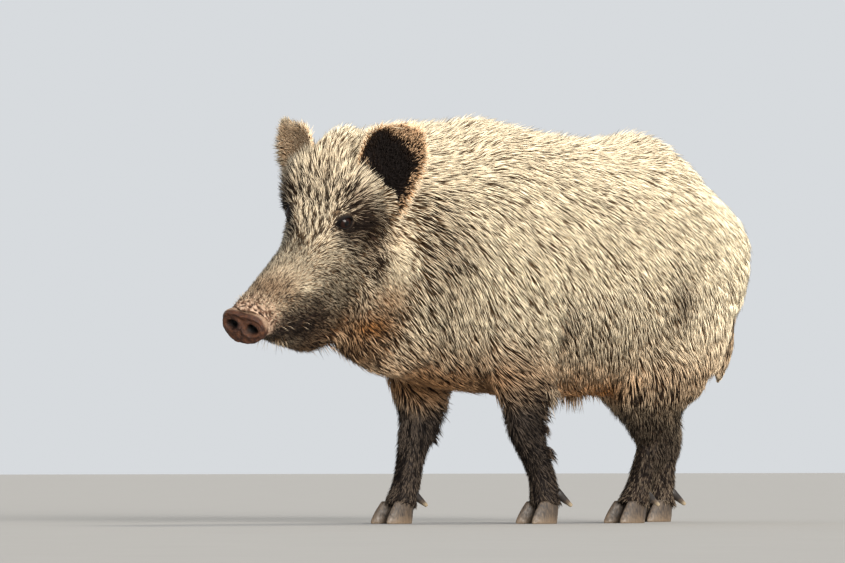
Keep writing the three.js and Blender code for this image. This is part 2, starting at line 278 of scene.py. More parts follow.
# %% Node helpers
def socket_group(name, inputs, outputs):
    """An empty node group with its sockets, and its input and output nodes."""
    group = bpy.data.node_groups.new(name, "ShaderNodeTree")
    for label, kind, value in inputs:
        s = group.interface.new_socket(label, in_out="INPUT", socket_type=kind)
        s.default_value = value
    for label, kind in outputs:
        group.interface.new_socket(label, in_out="OUTPUT", socket_type=kind)
    return group, group.nodes.new("NodeGroupInput"), group.nodes.new("NodeGroupOutput")


def put(value, socket, tree):
    """Links a socket's value, or types in a plain one."""
    if isinstance(value, bpy.types.NodeSocket):
        tree.links.new(value, socket)
    else:
        socket.default_value = value


def mix_colour(tree, share, a, b):
    """The colour a, with a share of the colour b over it."""
    node = tree.nodes.new("ShaderNodeMix")
    node.data_type = "RGBA"
    put(share, node.inputs[0], tree)
    put(a, node.inputs[6], tree)
    put(b, node.inputs[7], tree)
    return node.outputs[2]


def maths(tree, kind, a, b=0.0, c=0.0):
    """One sum on up to three numbers."""
    node = tree.nodes.new("ShaderNodeMath")
    node.operation = kind
    for i, v in enumerate((a, b, c)):
        put(v, node.inputs[i], tree)
    return node.outputs[0]


def ease(tree, value, low, high, out_low=0.0, out_high=1.0):
    """A soft ramp from out_low at low to out_high at high."""
    node = tree.nodes.new("ShaderNodeMapRange")
    node.interpolation_type = "SMOOTHSTEP"
    put(value, node.inputs[0], tree)
    for i, v in zip((1, 2, 3, 4), (low, high, out_low, out_high)):
        put(v, node.inputs[i], tree)
    return node.outputs[0]


def noise_of(tree, vector, scale, detail=3.0, rough=0.5):
    """Cloudy noise from 0 to 1; a larger scale gives smaller clouds."""
    node = tree.nodes.new("ShaderNodeTexNoise")
    put(vector, node.inputs["Vector"], tree)
    node.inputs["Scale"].default_value = scale
    node.inputs["Detail"].default_value = detail
    node.inputs["Roughness"].default_value = rough
    return node.outputs["Fac"]


def attribute(tree, name):
    """A number that each vertex of the mesh holds under this name."""
    node = tree.nodes.new("ShaderNodeAttribute")
    node.attribute_name = name
    return node.outputs["Fac"]


def object_coords(tree):
    return tree.nodes.new("ShaderNodeTexCoord").outputs["Object"]


def material(name):
    mat = bpy.data.materials.new(name)
    mat.use_nodes = True
    return mat, mat.node_tree, mat.node_tree.nodes["Principled BSDF"]


def add_bump(tree, bsdf, height, strength, distance):
    """A Bump node between a height and the material's normal."""
    bump = tree.nodes.new("ShaderNodeBump")
    bump.inputs["Strength"].default_value = strength
    bump.inputs["Distance"].default_value = distance
    put(height, bump.inputs["Height"], tree)
    put(bump.outputs["Normal"], bsdf.inputs["Normal"], tree)


def rgb(r, g, b):
    """A colour picked as 0 to 255, turned into the linear light that the shaders work in."""
    def lin(c):
        c /= 255
        return c / 12.92 if c <= 0.04045 else ((c + 0.055) / 1.055) ** 2.4
    return (lin(r), lin(g), lin(b), 1.0)


print("mid grey in linear light:", round(rgb(128, 128, 128)[0], 3))


# %% [markdown]
# ## Colours of a hair
# A boar's bristle is dark at its root and pale at its tip, and some are black all along. Skin and
# coat must carry the same markings, so both use one node group. Each vertex holds how pale, rusty,
# dark and grey the animal is at that place, and a tuft also holds its own shade. The group turns
# them, and the way along the hair, into a colour.

# %% Coat markings group
FLOAT, COLOUR = "NodeSocketFloat", "NodeSocketColor"
MARKS = ("pale", "rust", "dark", "grey")
markings_group, g_in, g_out = socket_group(
    "Coat markings",
    [("Along", FLOAT, 0.5), ("Shade", FLOAT, 0.5), ("Pale", FLOAT, 0.5), ("Rust", FLOAT, 0.0),
     ("Dark", FLOAT, 0.0), ("Grey", FLOAT, 0.0)],
    [("Color", COLOUR), ("Roughness", FLOAT)])
g = markings_group
tip = mix_colour(g, g_in.outputs["Pale"], rgb(172, 142, 112), rgb(255, 242, 212))
tip = mix_colour(g, g_in.outputs["Rust"], tip, rgb(200, 142, 86))
tip = mix_colour(g, g_in.outputs["Grey"], tip, rgb(104, 92, 82))
root = mix_colour(g, g_in.outputs["Pale"], rgb(44, 27, 16), rgb(118, 90, 60))
root = mix_colour(g, g_in.outputs["Rust"], root, rgb(84, 48, 24))
root = mix_colour(g, g_in.outputs["Grey"], root, rgb(24, 20, 18))
start = maths(g, "MULTIPLY_ADD", g_in.outputs["Dark"], 0.55, 0.12)
share = maths(g, "SUBTRACT", g_in.outputs["Along"], start)
share = ease(g, share, -0.12, 0.42)
hair = mix_colour(g, share, root, tip)
dark_hair = ease(g, maths(g, "SUBTRACT", g_in.outputs["Shade"], g_in.outputs["Dark"]),
                 -0.06, 0.04, 1.0, 0.0)
black = mix_colour(g, ease(g, g_in.outputs["Pale"], 0.72, 1.0), rgb(36, 21, 12), rgb(104, 76, 46))
black = mix_colour(g, g_in.outputs["Grey"], black, rgb(22, 18, 17))
hair = mix_colour(g, maths(g, "MULTIPLY", dark_hair, 0.95), hair, black)
bright = ease(g, g_in.outputs["Shade"], 0.0, 1.0, 0.66, 1.22)
tone = g.nodes.new("ShaderNodeVectorMath")
tone.operation = "SCALE"
g.links.new(hair, tone.inputs[0])
g.links.new(bright, tone.inputs["Scale"])
g.links.new(tone.outputs[0], g_out.inputs["Color"])
g.links.new(ease(g, g_in.outputs["Along"], 0.0, 1.0, 0.75, 0.5), g_out.inputs["Roughness"])


def markings_node(tree, along, shade):
    node = tree.nodes.new("ShaderNodeGroup")
    node.node_tree = markings_group
    put(along, node.inputs["Along"], tree)
    put(shade, node.inputs["Shade"], tree)
    for label in MARKS:
        put(attribute(tree, label), node.inputs[label.capitalize()], tree)
    return node


print("markings group:", len(g.nodes), "nodes")

# %% [markdown]
# ## Coat material
# Bristles are dull, dusty horn with a faint sheen. The group gives the colour, and only a little
# specular light is let through, or the dark hairs would look grey.

# %% Coat material
coat_mat, t, bsdf = material("coat")
node = markings_node(t, attribute(t, "along"), attribute(t, "shade"))
t.links.new(node.outputs["Color"], bsdf.inputs["Base Color"])
t.links.new(node.outputs["Roughness"], bsdf.inputs["Roughness"])
bsdf.inputs["Specular IOR Level"].default_value = 0.12
print("coat material:", len(t.nodes), "nodes")

# %% [markdown]
# ## Skin material
# The skin shows between the tufts, so it wears the same markings, broken up by fine noise. Behind
# the snout disc it is bare, grey-brown and wrinkled: numbers on the mesh say where that leather is,
# where painted shade darkens its folds, where the dark rims of the eyes run, and where painted shade
# darkens the ears' hollows.

# %% Skin material
skin_mat, t, bsdf = material("skin")
where = object_coords(t)
grain = noise_of(t, where, 900, 2)
patch = noise_of(t, where, 140, 3)
node = markings_node(t, ease(t, grain, 0.3, 0.7, 0.1, 0.5), patch)
bare = attribute(t, "bare")
leather = mix_colour(t, ease(t, patch, 0.35, 0.65), rgb(92, 66, 50), rgb(178, 152, 130))
# painted shade: the folds and the mouth's groove are darkened
leather = mix_colour(t, ease(t, attribute(t, "fold_shade"), 0.0, 1.0), leather, rgb(36, 22, 15))
colour = mix_colour(t, bare, node.outputs["Color"], leather)
# the dark rims of the eyes, and painted shade in the ears' hollows
colour = mix_colour(t, attribute(t, "dark_rim_and_hollow_shade"), colour, rgb(15, 10, 9))
t.links.new(colour, bsdf.inputs["Base Color"])
bsdf.inputs["Roughness"].default_value = 0.72
bsdf.inputs["Specular IOR Level"].default_value = 0.15
add_bump(t, bsdf, grain, 0.5, 0.0012)
print("skin material:", len(t.nodes), "nodes")

# %% [markdown]
# ## One skin from the solids
# An animal has one skin from snout to tail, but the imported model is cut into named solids. Copies
# of the flesh solids are swollen by a hair's breadth, so that they run into each other, and joined.
# Voxel Remesh then drops the walls inside and leaves one closed, even mesh, and Smooth takes away
# its steps. The belly brush is all hair, so the skin passes over it.

# %% Skin from the solids
FLESH = ("trunk", "neck", "head", "tail", "foreleg_left", "foreleg_right", "hindleg_left",
         "hindleg_right")
VOXEL = 0.0066
SWELL = 0.0009
WELD = 1e-5
BRUSH_X, BRUSH_REACH, BRUSH_ROOT = -0.244, 0.04, 0.236


def merged_copy(name):
    """A loose copy of a solid whose facets share their corners."""
    obj = frame["nodes"][name].copy()
    obj.data = obj.data.copy()
    obj.parent = None
    obj.matrix_world = Matrix.Identity(4)
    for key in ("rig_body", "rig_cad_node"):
        del obj[key]
    bpy.context.scene.collection.objects.link(obj)
    in_edit_mode(obj, bpy.ops.mesh.remove_doubles, threshold=WELD)
    return obj


parts = []
for name in FLESH:
    piece = merged_copy(name)
    co = coords(piece) + normals(piece) * SWELL
    if name == "trunk":
        brush = np.hypot(co[:, 0] - BRUSH_X, co[:, 1]) < BRUSH_REACH
        co[:, 2] = np.where(brush, np.maximum(co[:, 2], BRUSH_ROOT), co[:, 2])
    set_coords(piece, co)
    parts.append(piece)
join(parts, parts[0])
skin = parts[0]
skin.name = "skin"
skin.data.remesh_voxel_size = VOXEL
skin.data.remesh_voxel_adaptivity = 0
bpy.ops.object.voxel_remesh()
in_edit_mode(skin, bpy.ops.mesh.vertices_smooth, factor=0.5, repeat=6)
print("skin:", len(skin.data.polygons), "faces after the remesh")

# %% [markdown]
# ## Finer skin on the face
# Lids and wrinkles are smaller than the remeshed faces. Subdivide cuts the faces of the head in
# four, and those round the eyes and behind the snout once more. The rest of the body stays coarse,
# because the coat hides it.

# %% Finer skin on the face
EYE_X, EYE_Y, EYE_Z, EYE_R = -0.3005, 0.0460, 0.0300, 0.0152
FACE_BACK, FACE_WIDE, FACE_LOW, FACE_TOP = -0.335, 0.12, -0.13, 0.12
SNOUT_BACK, SNOUT_WIDE = -0.085, 0.08
EYE_REACH = 0.03


def face_centres(obj):
    """The middle of each face."""
    c = np.empty(len(obj.data.polygons) * 3, np.float32)
    obj.data.polygons.foreach_get("center", c)
    return c.reshape(-1, 3).astype(float)


def refine(obj, wanted):
    """Cuts the wanted faces in four."""
    only(obj)
    me = obj.data
    me.polygons.foreach_set("select", np.zeros(len(me.polygons), bool))
    me.edges.foreach_set("select", np.zeros(len(me.edges), bool))
    me.vertices.foreach_set("select", np.zeros(len(me.vertices), bool))
    me.polygons.foreach_set("select", wanted)
    bpy.ops.object.mode_set(mode="EDIT")
    bpy.ops.mesh.select_mode(type="FACE")
    bpy.ops.mesh.subdivide(number_cuts=1)
    bpy.ops.object.mode_set(mode="OBJECT")


def eye_distance(h):
    """How far each place on the head's axes is from the nearer eye."""
    return np.minimum(*[np.linalg.norm(h - (EYE_X, side * EYE_Y, EYE_Z), axis=1)
                        for side in (1, -1)])


h = to_head(face_centres(skin))
in_head = (np.abs(h[:, 1]) < FACE_WIDE) & (h[:, 2] > FACE_LOW) & (h[:, 2] < FACE_TOP)
refine(skin, in_head & (h[:, 0] > FACE_BACK))
h = to_head(face_centres(skin))
behind_disc = (h[:, 0] > SNOUT_BACK) & (np.abs(h[:, 1]) < SNOUT_WIDE)
refine(skin, (eye_distance(h) < EYE_REACH) | behind_disc)
in_edit_mode(skin, bpy.ops.mesh.vertices_smooth, factor=0.5, repeat=3)
print("skin:", len(skin.data.polygons), "faces with a finer face")

# %% [markdown]
# ## Regions
# The coat is long on the neck and back and very short on the face and feet. The nearest solid tells
# which region a point of the skin is in, and rounds of averaging over the mesh make soft borders.
# Each point ends with five weights that add up to 1.

# %% Region weights
NEAR_BOX, SEARCH, FAR_AWAY = 0.02, 0.05, 9.0
BORDER_ROUNDS = 26


def edges_of(obj):
    """The two point numbers of each edge."""
    e = np.empty(len(obj.data.edges) * 2, np.int32)
    obj.data.edges.foreach_get("vertices", e)
    return e.reshape(-1, 2)


def spread(edges, values, times):
    """Averages values over each vertex and its neighbours, times over."""
    n = len(values)
    count = np.bincount(edges.ravel(), minlength=n).astype(float)[:, None]
    v = values.reshape(n, -1).astype(float)
    for _ in range(times):
        s = np.empty_like(v)
        for k in range(v.shape[1]):
            s[:, k] = (np.bincount(edges[:, 0], v[edges[:, 1], k], n)
                       + np.bincount(edges[:, 1], v[edges[:, 0], k], n))
        v = 0.5 * v + 0.5 * s / np.maximum(count, 1)
    return v


def tree_of(name):
    """A solid in a form that finds its nearest surface quickly."""
    o = frame["nodes"][name]
    return BVHTree.FromPolygons([v.co for v in o.data.vertices],
                                [p.vertices for p in o.data.polygons])


REGIONS = ("trunk", "neck", "head", "tail", "leg")
points = coords(skin)
skin_edges = edges_of(skin)
away = np.full((len(points), len(REGIONS)), FAR_AWAY)
for name in FLESH:
    tree = tree_of(name)
    low, high = (np.array(corner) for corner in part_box(name))
    inside = np.all((points > low - NEAR_BOX) & (points < high + NEAR_BOX), axis=1)
    column = REGIONS.index("leg" if "leg" in name else name)
    for i in np.nonzero(inside)[0]:
        found = tree.find_nearest(points[i], SEARCH)
        if found[0] is not None:
            away[i, column] = min(away[i, column], found[3])
weights = np.eye(len(REGIONS))[away.argmin(1)]
weights = spread(skin_edges, weights, BORDER_ROUNDS)
print("regions:", dict(zip(REGIONS, weights.sum(0).round())))

# %% [markdown]
# ## Depth of the coat
# The solids reach to the tips of the hair, so the skin has to lie deeper: 16 mm on the neck, a few
# millimetres on the face and feet, and nothing at the snout disc. Each region has its own depth as
# a table or a number, and the weights blend them.

# %% Depth of the coat
def table(values, weights):
    """One value per region, blended by the region weights."""
    return sum(weights[:, i] * values[i] for i in range(len(REGIONS)))


def coat_depth(p, weights):
    """The depth between skin and hair tips. Less of it is left round the eyes."""
    h = to_head(p)
    head = np.interp(h[:, 0], [-0.44, -0.36, -0.28, -0.2, -0.1, -0.03, 0],
                     [0.012, 0.0095, 0.0065, 0.0045, 0.003, 0.0012, 0.0])
    head = head * (1 - 0.72 * np.exp(-(eye_distance(h) / EYE_REACH) ** 4))
    leg = np.interp(p[:, 2], [0.02, 0.08, 0.16, 0.25], [0.002, 0.0035, 0.005, 0.011])
    return table([0.0145, 0.016, head, 0.005, leg], weights)


lift = coat_depth(points, weights)
set_coords(skin, points - normals(skin) * lift[:, None])
in_edit_mode(skin, bpy.ops.mesh.vertices_smooth, factor=0.5, repeat=2)
points = coords(skin)
print("coat depth up to", round(float(lift.max()) * 1000, 1), "mm")

# %% [markdown]
# ## Where the eyes look
# The eyes sit on the sides of the head and look outward and a little ahead and up. Each gets three
# directions at right angles: along the gaze, ahead along its lids, and up across them. The lids'
# opening is an almond that is taller above its middle line than below it.

# %% Eyes' directions and lids' opening
LID_LONG, LID_UP, LID_DOWN = 0.0143, 0.0096, 0.0078
TEAR_AT, TEAR_START, TEAR_DROP = 0.0205, 0.0140, 0.0010
TEAR_LONG, TEAR_THIN, TEAR_SLOPE = 0.0085, 0.0019, 0.38
EYES = {}
for side, word in ((1, "left"), (-1, "right")):
    gaze = Vector((0.46, side * 0.86, 0.16)).normalized()
    ahead = Vector((1, 0, 0.24))
    ahead = (ahead - gaze * ahead.dot(gaze)).normalized()
    upward = gaze.cross(ahead) * side
    if upward.z < 0:
        upward = -upward
    EYES[word] = dict(side=side, centre=np.array((EYE_X, side * EYE_Y, EYE_Z)), gaze=np.array(gaze),
                      ahead=np.array(ahead), upward=np.array(upward))


def eye_plane(h, eye):
    """Places round an eye: ahead and up across its opening, out along the gaze, and the distance."""
    d = h - eye["centre"]
    return d @ eye["ahead"], d @ eye["upward"], d @ eye["gaze"], np.linalg.norm(d, axis=1)


def opening(a, u):
    """How many times the size of the lids' opening an oval through each place is."""
    return np.sqrt((a / LID_LONG) ** 2 + (u / np.where(u > 0, LID_UP, LID_DOWN)) ** 2)


def tear_line(a, u):
    """Below 1 within the groove that runs from the corner of the eye towards the snout."""
    drop = u + TEAR_DROP + TEAR_SLOPE * (a - TEAR_START)
    return np.sqrt(((a - TEAR_AT) / TEAR_LONG) ** 2 + (drop / TEAR_THIN) ** 2)


print("gaze of the left eye:", EYES["left"]["gaze"].round(2))

# %% [markdown]
# ## Swells and hollows
# The solids give the big forms. What is finer is pushed in or out along the skin's normal in soft
# mounds: brow and forehead, the bridge of the snout, the hollows round the eyes, the throat, and on
# the body the back, withers and buttocks. Both sides of the animal get each of them.

# %% Swells of head and body
# place and reach on the head's own axes, then how far the skin is drawn out there
NOTCH = tuple(to_head(np.array([[0.372, 0.060, 0.318]]))[0] * (1, 0, 1))
HEAD_SWELLS = (
    ((-0.300, 0.052, 0.064), (0.034, 0.022, 0.013), 0.0040),
    ((-0.062, 0.000, 0.040), (0.030, 0.040, 0.022), 0.0050),
    ((-0.262, 0.046, 0.022), (0.022, 0.012, 0.007), -0.0030),
    ((-0.330, 0.075, -0.020), (0.016, 0.020, 0.030), -0.0030),
    ((-0.292, 0.074, 0.006), (0.034, 0.040, 0.026), -0.0130),
    ((-0.250, 0.060, -0.010), (0.030, 0.040, 0.026), -0.0040),
    ((-0.330, 0.088, -0.016), (0.036, 0.040, 0.030), -0.0125),
    ((-0.298, 0.078, -0.034), (0.026, 0.040, 0.022), -0.0060),
    ((-0.312, 0.050, 0.098), (0.050, 0.034, 0.036), 0.0085),
    (NOTCH, (0.045, 0.060, 0.030), 0.0200),
    ((-0.165, 0.010, -0.165), (0.050, 0.050, 0.035), -0.0080),
)
# the same in the room's own axes
BODY_SWELLS = (
    ((-0.385, 0.020, 0.685), (0.055, 0.070, 0.050), 0.013),
    ((-0.230, 0.000, 0.690), (0.120, 0.080, 0.050), 0.003),
    ((-0.452, 0.127, 0.245), (0.030, 0.050, 0.030), -0.014),
    ((-0.378, 0.000, 0.700), (0.020, 0.060, 0.040), 0.002),
    ((-0.478, 0.088, 0.600), (0.022, 0.050, 0.022), -0.007),
    ((-0.540, 0.100, 0.510), (0.045, 0.060, 0.055), 0.011),
    ((0.130, 0.000, 0.710), (0.090, 0.070, 0.050), -0.009),
    ((-0.570, 0.070, 0.330), (0.040, 0.050, 0.050), -0.018),
    ((-0.540, 0.090, 0.285), (0.040, 0.050, 0.035), -0.012),
)
h = to_head(points)
n = normals(skin)
nh = n @ HEAD_WAYS
push = np.zeros(len(h))
for centre, reach, amount in HEAD_SWELLS:
    push += amount * blob(one_side(h), centre, reach)
for centre, reach, amount in BODY_SWELLS:
    push += amount * blob(one_side(points), centre, reach)
print("swells: deepest move", round(float(np.abs(push).max()) * 1000, 1), "mm")

# %% [markdown]
# ## Mouth line and wrinkles
# The closed mouth is a thin groove with a low lip on each side of it. Behind the snout disc the
# bare skin lies in rings of wrinkles, broken up by a crust, and round the eyes it puckers finely.
# A number per vertex remembers the folds, so that the material paints shade into them.

# %% Mouth line and wrinkles
MOUTH = ((-0.052, -0.036), (-0.085, -0.052), (-0.13, -0.062), (-0.19, -0.078), (-0.215, -0.075))
GROOVE_WIDE = 0.0032
WRINKLE_GAP = 0.0078


def line_distance(h, line):
    """Distance in the head's side view from a line through (x, z) places."""
    best = np.full(len(h), FAR_AWAY)
    q = h[:, [0, 2]]
    for a, b in zip(np.array(line[:-1]), np.array(line[1:])):
        t = np.clip(((q - a) @ (b - a)) / ((b - a) @ (b - a)), 0, 1)
        best = np.minimum(best, np.linalg.norm(q - a - t[:, None] * (b - a), axis=1))
    return best


fold_shade = np.zeros(len(h))
on_head = smooth(0.3, 0.7, weights[:, 2])
mouth = line_distance(h, MOUTH) / GROOVE_WIDE
side_on = smooth(0.3, 0.8, np.abs(nh[:, 1]) + 0.4 * (nh[:, 2] < 0)) * on_head
push -= 0.0034 * np.exp(-mouth ** 2) * side_on
push += 0.0014 * np.exp(-(mouth - 2.4) ** 2) * side_on
# painted shade along the mouth's groove
fold_shade += np.exp(-mouth ** 2) * side_on
band = smooth(-0.082, -0.045, h[:, 0]) * (1 - smooth(-0.026, -0.014, h[:, 0]))
band *= smooth(-0.75, 0.1, nh[:, 2]) * on_head
rings = np.sin(h[:, 0] / WRINKLE_GAP * 2 * math.pi + 2.2 * ripple(h, 0.035, 5))
crust = ripple(h, 0.0085, 6)
push += band * (0.0012 * rings + 0.0019 * crust)
# painted shade in the troughs of the wrinkles and the crust
fold_shade += band * smooth(0.15, 0.9, -0.6 * rings - 0.7 * crust)
for eye in EYES.values():
    a, u, out, far = eye_plane(h, eye)
    close = (far < 0.034) & (out > -0.002)
    ring = np.sqrt((a / 0.0145) ** 2 + (u / 0.0105) ** 2)
    push += np.where(close, 0.0007 * np.sin(ring * 9.0 + 1.2) * smooth(1.1, 1.5, ring)
                     * (1 - smooth(2.0, 2.7, ring)), 0)
points = points + n * push[:, None]
print("head sculpted; deepest move", round(float(np.abs(push).max()) * 1000, 1), "mm")

# %% [markdown]
# ## Eye sockets
# The skin has to dip under the eyeball's surface inside the lids' opening and climb back around it.
# LID_OUT and LID_CLIMB say how far it has climbed at each distance beyond the opening. Just outside
# it stays a little under the lids, which are a piece of their own, and the tear groove is cut in.

# %% Eye sockets
LID_OUT = (0.0, 0.0010, 0.0022, 0.0036, 0.0050, 0.0066, 0.0084)
LID_CLIMB = (0.0, 0.08, 0.25, 0.50, 0.72, 0.90, 1.0)
SOCKET_REACH = 0.032
BEHIND_BALL, OVER_BALL = 0.004, 0.0044
UNDER_LID = 0.0013
TEAR_DEPTH = 0.0012
THINNEST = 0.002


def ball_height(a, u):
    """How far out the eyeball's surface is, with a least value beyond its edge."""
    return np.sqrt(np.maximum(EYE_R ** 2 - a * a - u * u, THINNEST ** 2))


dark_rim_and_hollow_shade = np.zeros(len(points))
for eye in EYES.values():
    h = to_head(points)
    a, u, out, far = eye_plane(h, eye)
    near = (out > 0.001) & (far < SOCKET_REACH)
    wide = np.maximum(opening(a, u), 1e-3)
    edge = ball_height(a / wide, u / wide)
    beyond = (1 - 1 / wide) * np.hypot(a, u)
    climb = edge + (out - edge) * np.interp(beyond, LID_OUT, LID_CLIMB)
    climb -= UNDER_LID * (1 - smooth(0.0060, 0.0088, beyond))
    behind = ball_height(a, u) - BEHIND_BALL
    level = np.where(wide < 1, behind, np.maximum(np.minimum(climb, out), behind + OVER_BALL))
    level = level - TEAR_DEPTH * np.exp(-tear_line(a, u) ** 2) * (wide > 1)
    h = h + np.where(near, level - out, 0)[:, None] * eye["gaze"]
    dark_rim_and_hollow_shade = np.maximum(dark_rim_and_hollow_shade, np.where(near, 1 - smooth(0.0036, 0.0085, beyond), 0))
    dark_rim_and_hollow_shade = np.maximum(dark_rim_and_hollow_shade, np.where(near, 1 - smooth(0.8, 1.5, tear_line(a, u)), 0))
    points = from_head(h)
set_coords(skin, points)
h = to_head(points)
bare = smooth(-0.050, -0.030, h[:, 0]) * on_head
bare = np.maximum(bare, band * 0.55)
print("skin points in the eyes' dark rims:", int((dark_rim_and_hollow_shade > 0.5).sum()))

# %% [markdown]
# ## Ears
# An ear is a cupped leaf of thin cartilage. Its outline, hollow and thickness are read from the
# same short table that shaped the solid, 4 mm smaller to leave room for the hair, and its root is
# sunk into the head. The same function later gives the places where its hairs grow.

# %% Ear leaves
EARS = {
    "left": dict(side=1, root=(-0.358, 0.058, -0.022), tall=0.212, outward=24, back=8, face=34,
                 skew=0.044, move=(0.0060, -0.0055, 0.0)),
    "right": dict(side=-1, root=(-0.386, -0.062, -0.008), tall=0.146, outward=27, back=8, face=32,
                  skew=0.034, move=(-0.003, 0.003, -0.002)),
}
EAR_AT = np.array([0.0, 0.2, 0.45, 0.7, 0.85, 0.94, 1.0])
EAR_OUTER = np.array([0.036, 0.044, 0.047, 0.044, 0.038, 0.029, 0.012])
EAR_INNER = np.array([0.038, 0.052, 0.064, 0.068, 0.062, 0.046, 0.016])
EAR_HOLLOW = np.array([0.022, 0.026, 0.022, 0.014, 0.009, 0.005, 0.002])
EAR_THICK = np.array([0.008, 0.007, 0.006, 0.005, 0.0045, 0.004, 0.0035])
EAR_ROWS, EAR_COLUMNS, EAR_START = 44, 30, 0.03
EAR_HAIR = 0.004


def ear_table(t, values):
    """The table read along a smooth line: the mean of straight readings a little either side."""
    return sum(np.interp(t + s, EAR_AT, values) for s in (-0.06, -0.03, 0, 0.03, 0.06)) / 5


def ear_point(ear, t, u, out):
    """A place in the room: t runs up the ear, u across it, out is 1 on its back, -1 in its hollow."""
    t, u, out = np.broadcast_arrays(np.asarray(t, float), u, out)
    side = ear["side"]
    half = np.where(side * u > 0, ear_table(t, EAR_OUTER), ear_table(t, EAR_INNER))
    half = np.maximum(half - EAR_HAIR, THINNEST)
    hollow, thick = ear_table(t, EAR_HOLLOW), ear_table(t, EAR_THICK) * 0.55
    tall = ear["tall"] - EAR_HAIR
    crease = 0.0022 * np.sin(u * 7.5) * (out < 0) * (1 - t) * smooth(0.0, 0.25, t)
    p = np.stack([-hollow * (1 - u * u) - out * thick * (1 - 0.45 * u * u) + crease, half * u,
                  tall * t - side * ear["skew"] * (1 - t) * u], -1)
    turn = (Matrix.Rotation(math.radians(18 - ear["back"]) - HEAD_PITCH, 3, "Y")
            @ Matrix.Rotation(math.radians(-side * ear["outward"]), 3, "X")
            @ Matrix.Rotation(math.radians(side * ear["face"]), 3, "Z"))
    return from_head(p @ np.array(turn).T + np.array(ear["root"])) + np.array(ear["move"])


def ear_leaf(name, ear):
    """The ear as rings from root to tip, each going up the back and down the hollow."""
    t = np.linspace(EAR_START, 1.0, EAR_ROWS)[:, None]
    u = np.linspace(-1, 1, EAR_COLUMNS)[None]
    back = ear_point(ear, t, u, 1.0)
    front = ear_point(ear, t, u[:, ::-1], -1.0)
    loop = np.concatenate([back, front], axis=1)
    base, tip = loop[0].mean(0), loop[-1].mean(0) + (loop[-1].mean(0) - loop[-2].mean(0)) * 0.4
    verts = np.concatenate([loop.reshape(-1, 3), [base], [tip]])
    return closed_mesh(name, verts, tube_faces(EAR_ROWS, loop.shape[1]))


print("ear leaves with their sunk roots:", [ear["tall"] for ear in EARS.values()], "m long")

# %% [markdown]
# ## Eyelids
# The lids are a closed band round an almond opening, lying on the ball of the eye. A profile of a
# few points is carried round the opening: it starts under the lid's edge, rolls over it, and runs
# out under the skin. Rays sent in from outside find how far out the skin lies at each place.

# %% Eyelids
LID_CORNERS = 56
RAY_START = 0.045
LID_POWER = 1.25
# out from the lids' edge, share of the way from the ball to the skin's own level, extra height,
# and how dark the lid is there
LID_PROFILE = (
    (0.0010, 0.0, -0.0016, 1.0), (-0.0003, 0.0, -0.0003, 1.0), (0.0, 0.0, 0.0010, 1.0),
    (0.0010, 0.3, 0.0018, 1.0), (0.0022, 0.7, 0.0020, 1.0), (0.0036, 1.0, 0.0016, 0.9),
    (0.0050, 1.0, 0.0013, 0.7), (0.0066, 1.0, 0.0007, 0.5), (0.0082, 1.0, -0.0006, 0.0),
    (0.0092, 1.0, -0.0050, 0.0), (0.0080, 1.0, -0.0080, 0.0), (0.0040, 0.5, -0.0050, 0.0))


def eyelid(name, eye):
    """Both lids of one eye, as a closed band round the opening."""
    around = LID_CORNERS
    angle = np.linspace(0, 2 * math.pi, around, endpoint=False)
    a0 = LID_LONG * np.cos(angle)
    high = np.where(np.sin(angle) > 0, LID_UP, LID_DOWN)
    u0 = high * np.sign(np.sin(angle)) * np.abs(np.sin(angle)) ** LID_POWER
    way = np.stack([np.cos(angle) * 0.8, np.sin(angle)], -1)
    upper = smooth(-0.2, 0.6, np.sin(angle))

    def spot(s):
        return a0 + way[:, 0] * s, u0 + way[:, 1] * s * (1 + 0.25 * upper)

    def room(a, u, out):
        return (eye["centre"] + eye["gaze"] * np.asarray(out)[..., None]
                + eye["ahead"] * a[:, None] + eye["upward"] * u[:, None])

    def skin_level(a, u):
        level = []
        for p in from_head(room(a, u, np.full(around, RAY_START))):
            hit = body_tree.ray_cast(Vector(p), inward)
            level.append(RAY_START - hit[3] if hit[0] is not None else 0.010)
        level = np.array(level)
        return (level + np.roll(level, 1) + np.roll(level, -1)) / 3

    inward = Vector(HEAD_WAYS @ -eye["gaze"])
    ball = ball_height(a0, u0)
    rows = []
    for s, share, rise, _ in LID_PROFILE:
        a, u = spot(s)
        rise = rise + 0.0008 * upper * (0.0005 < s < 0.006)
        cover = np.sqrt(np.maximum(EYE_R ** 2 - a * a - u * u, 0))
        level = np.maximum(skin_level(a, u), cover * (s < 0.008)) if share else ball
        rows.append(room(a, u, ball + (level - ball) * share + rise))
    verts = from_head(np.concatenate(rows))
    faces = [ring_band(k * around, (k + 1) % len(rows) * around, around) for k in range(len(rows))]
    return closed_mesh(name, verts, faces)


print("lids' opening:", LID_LONG * 2000, "mm long,", (LID_UP + LID_DOWN) * 1000, "mm high")
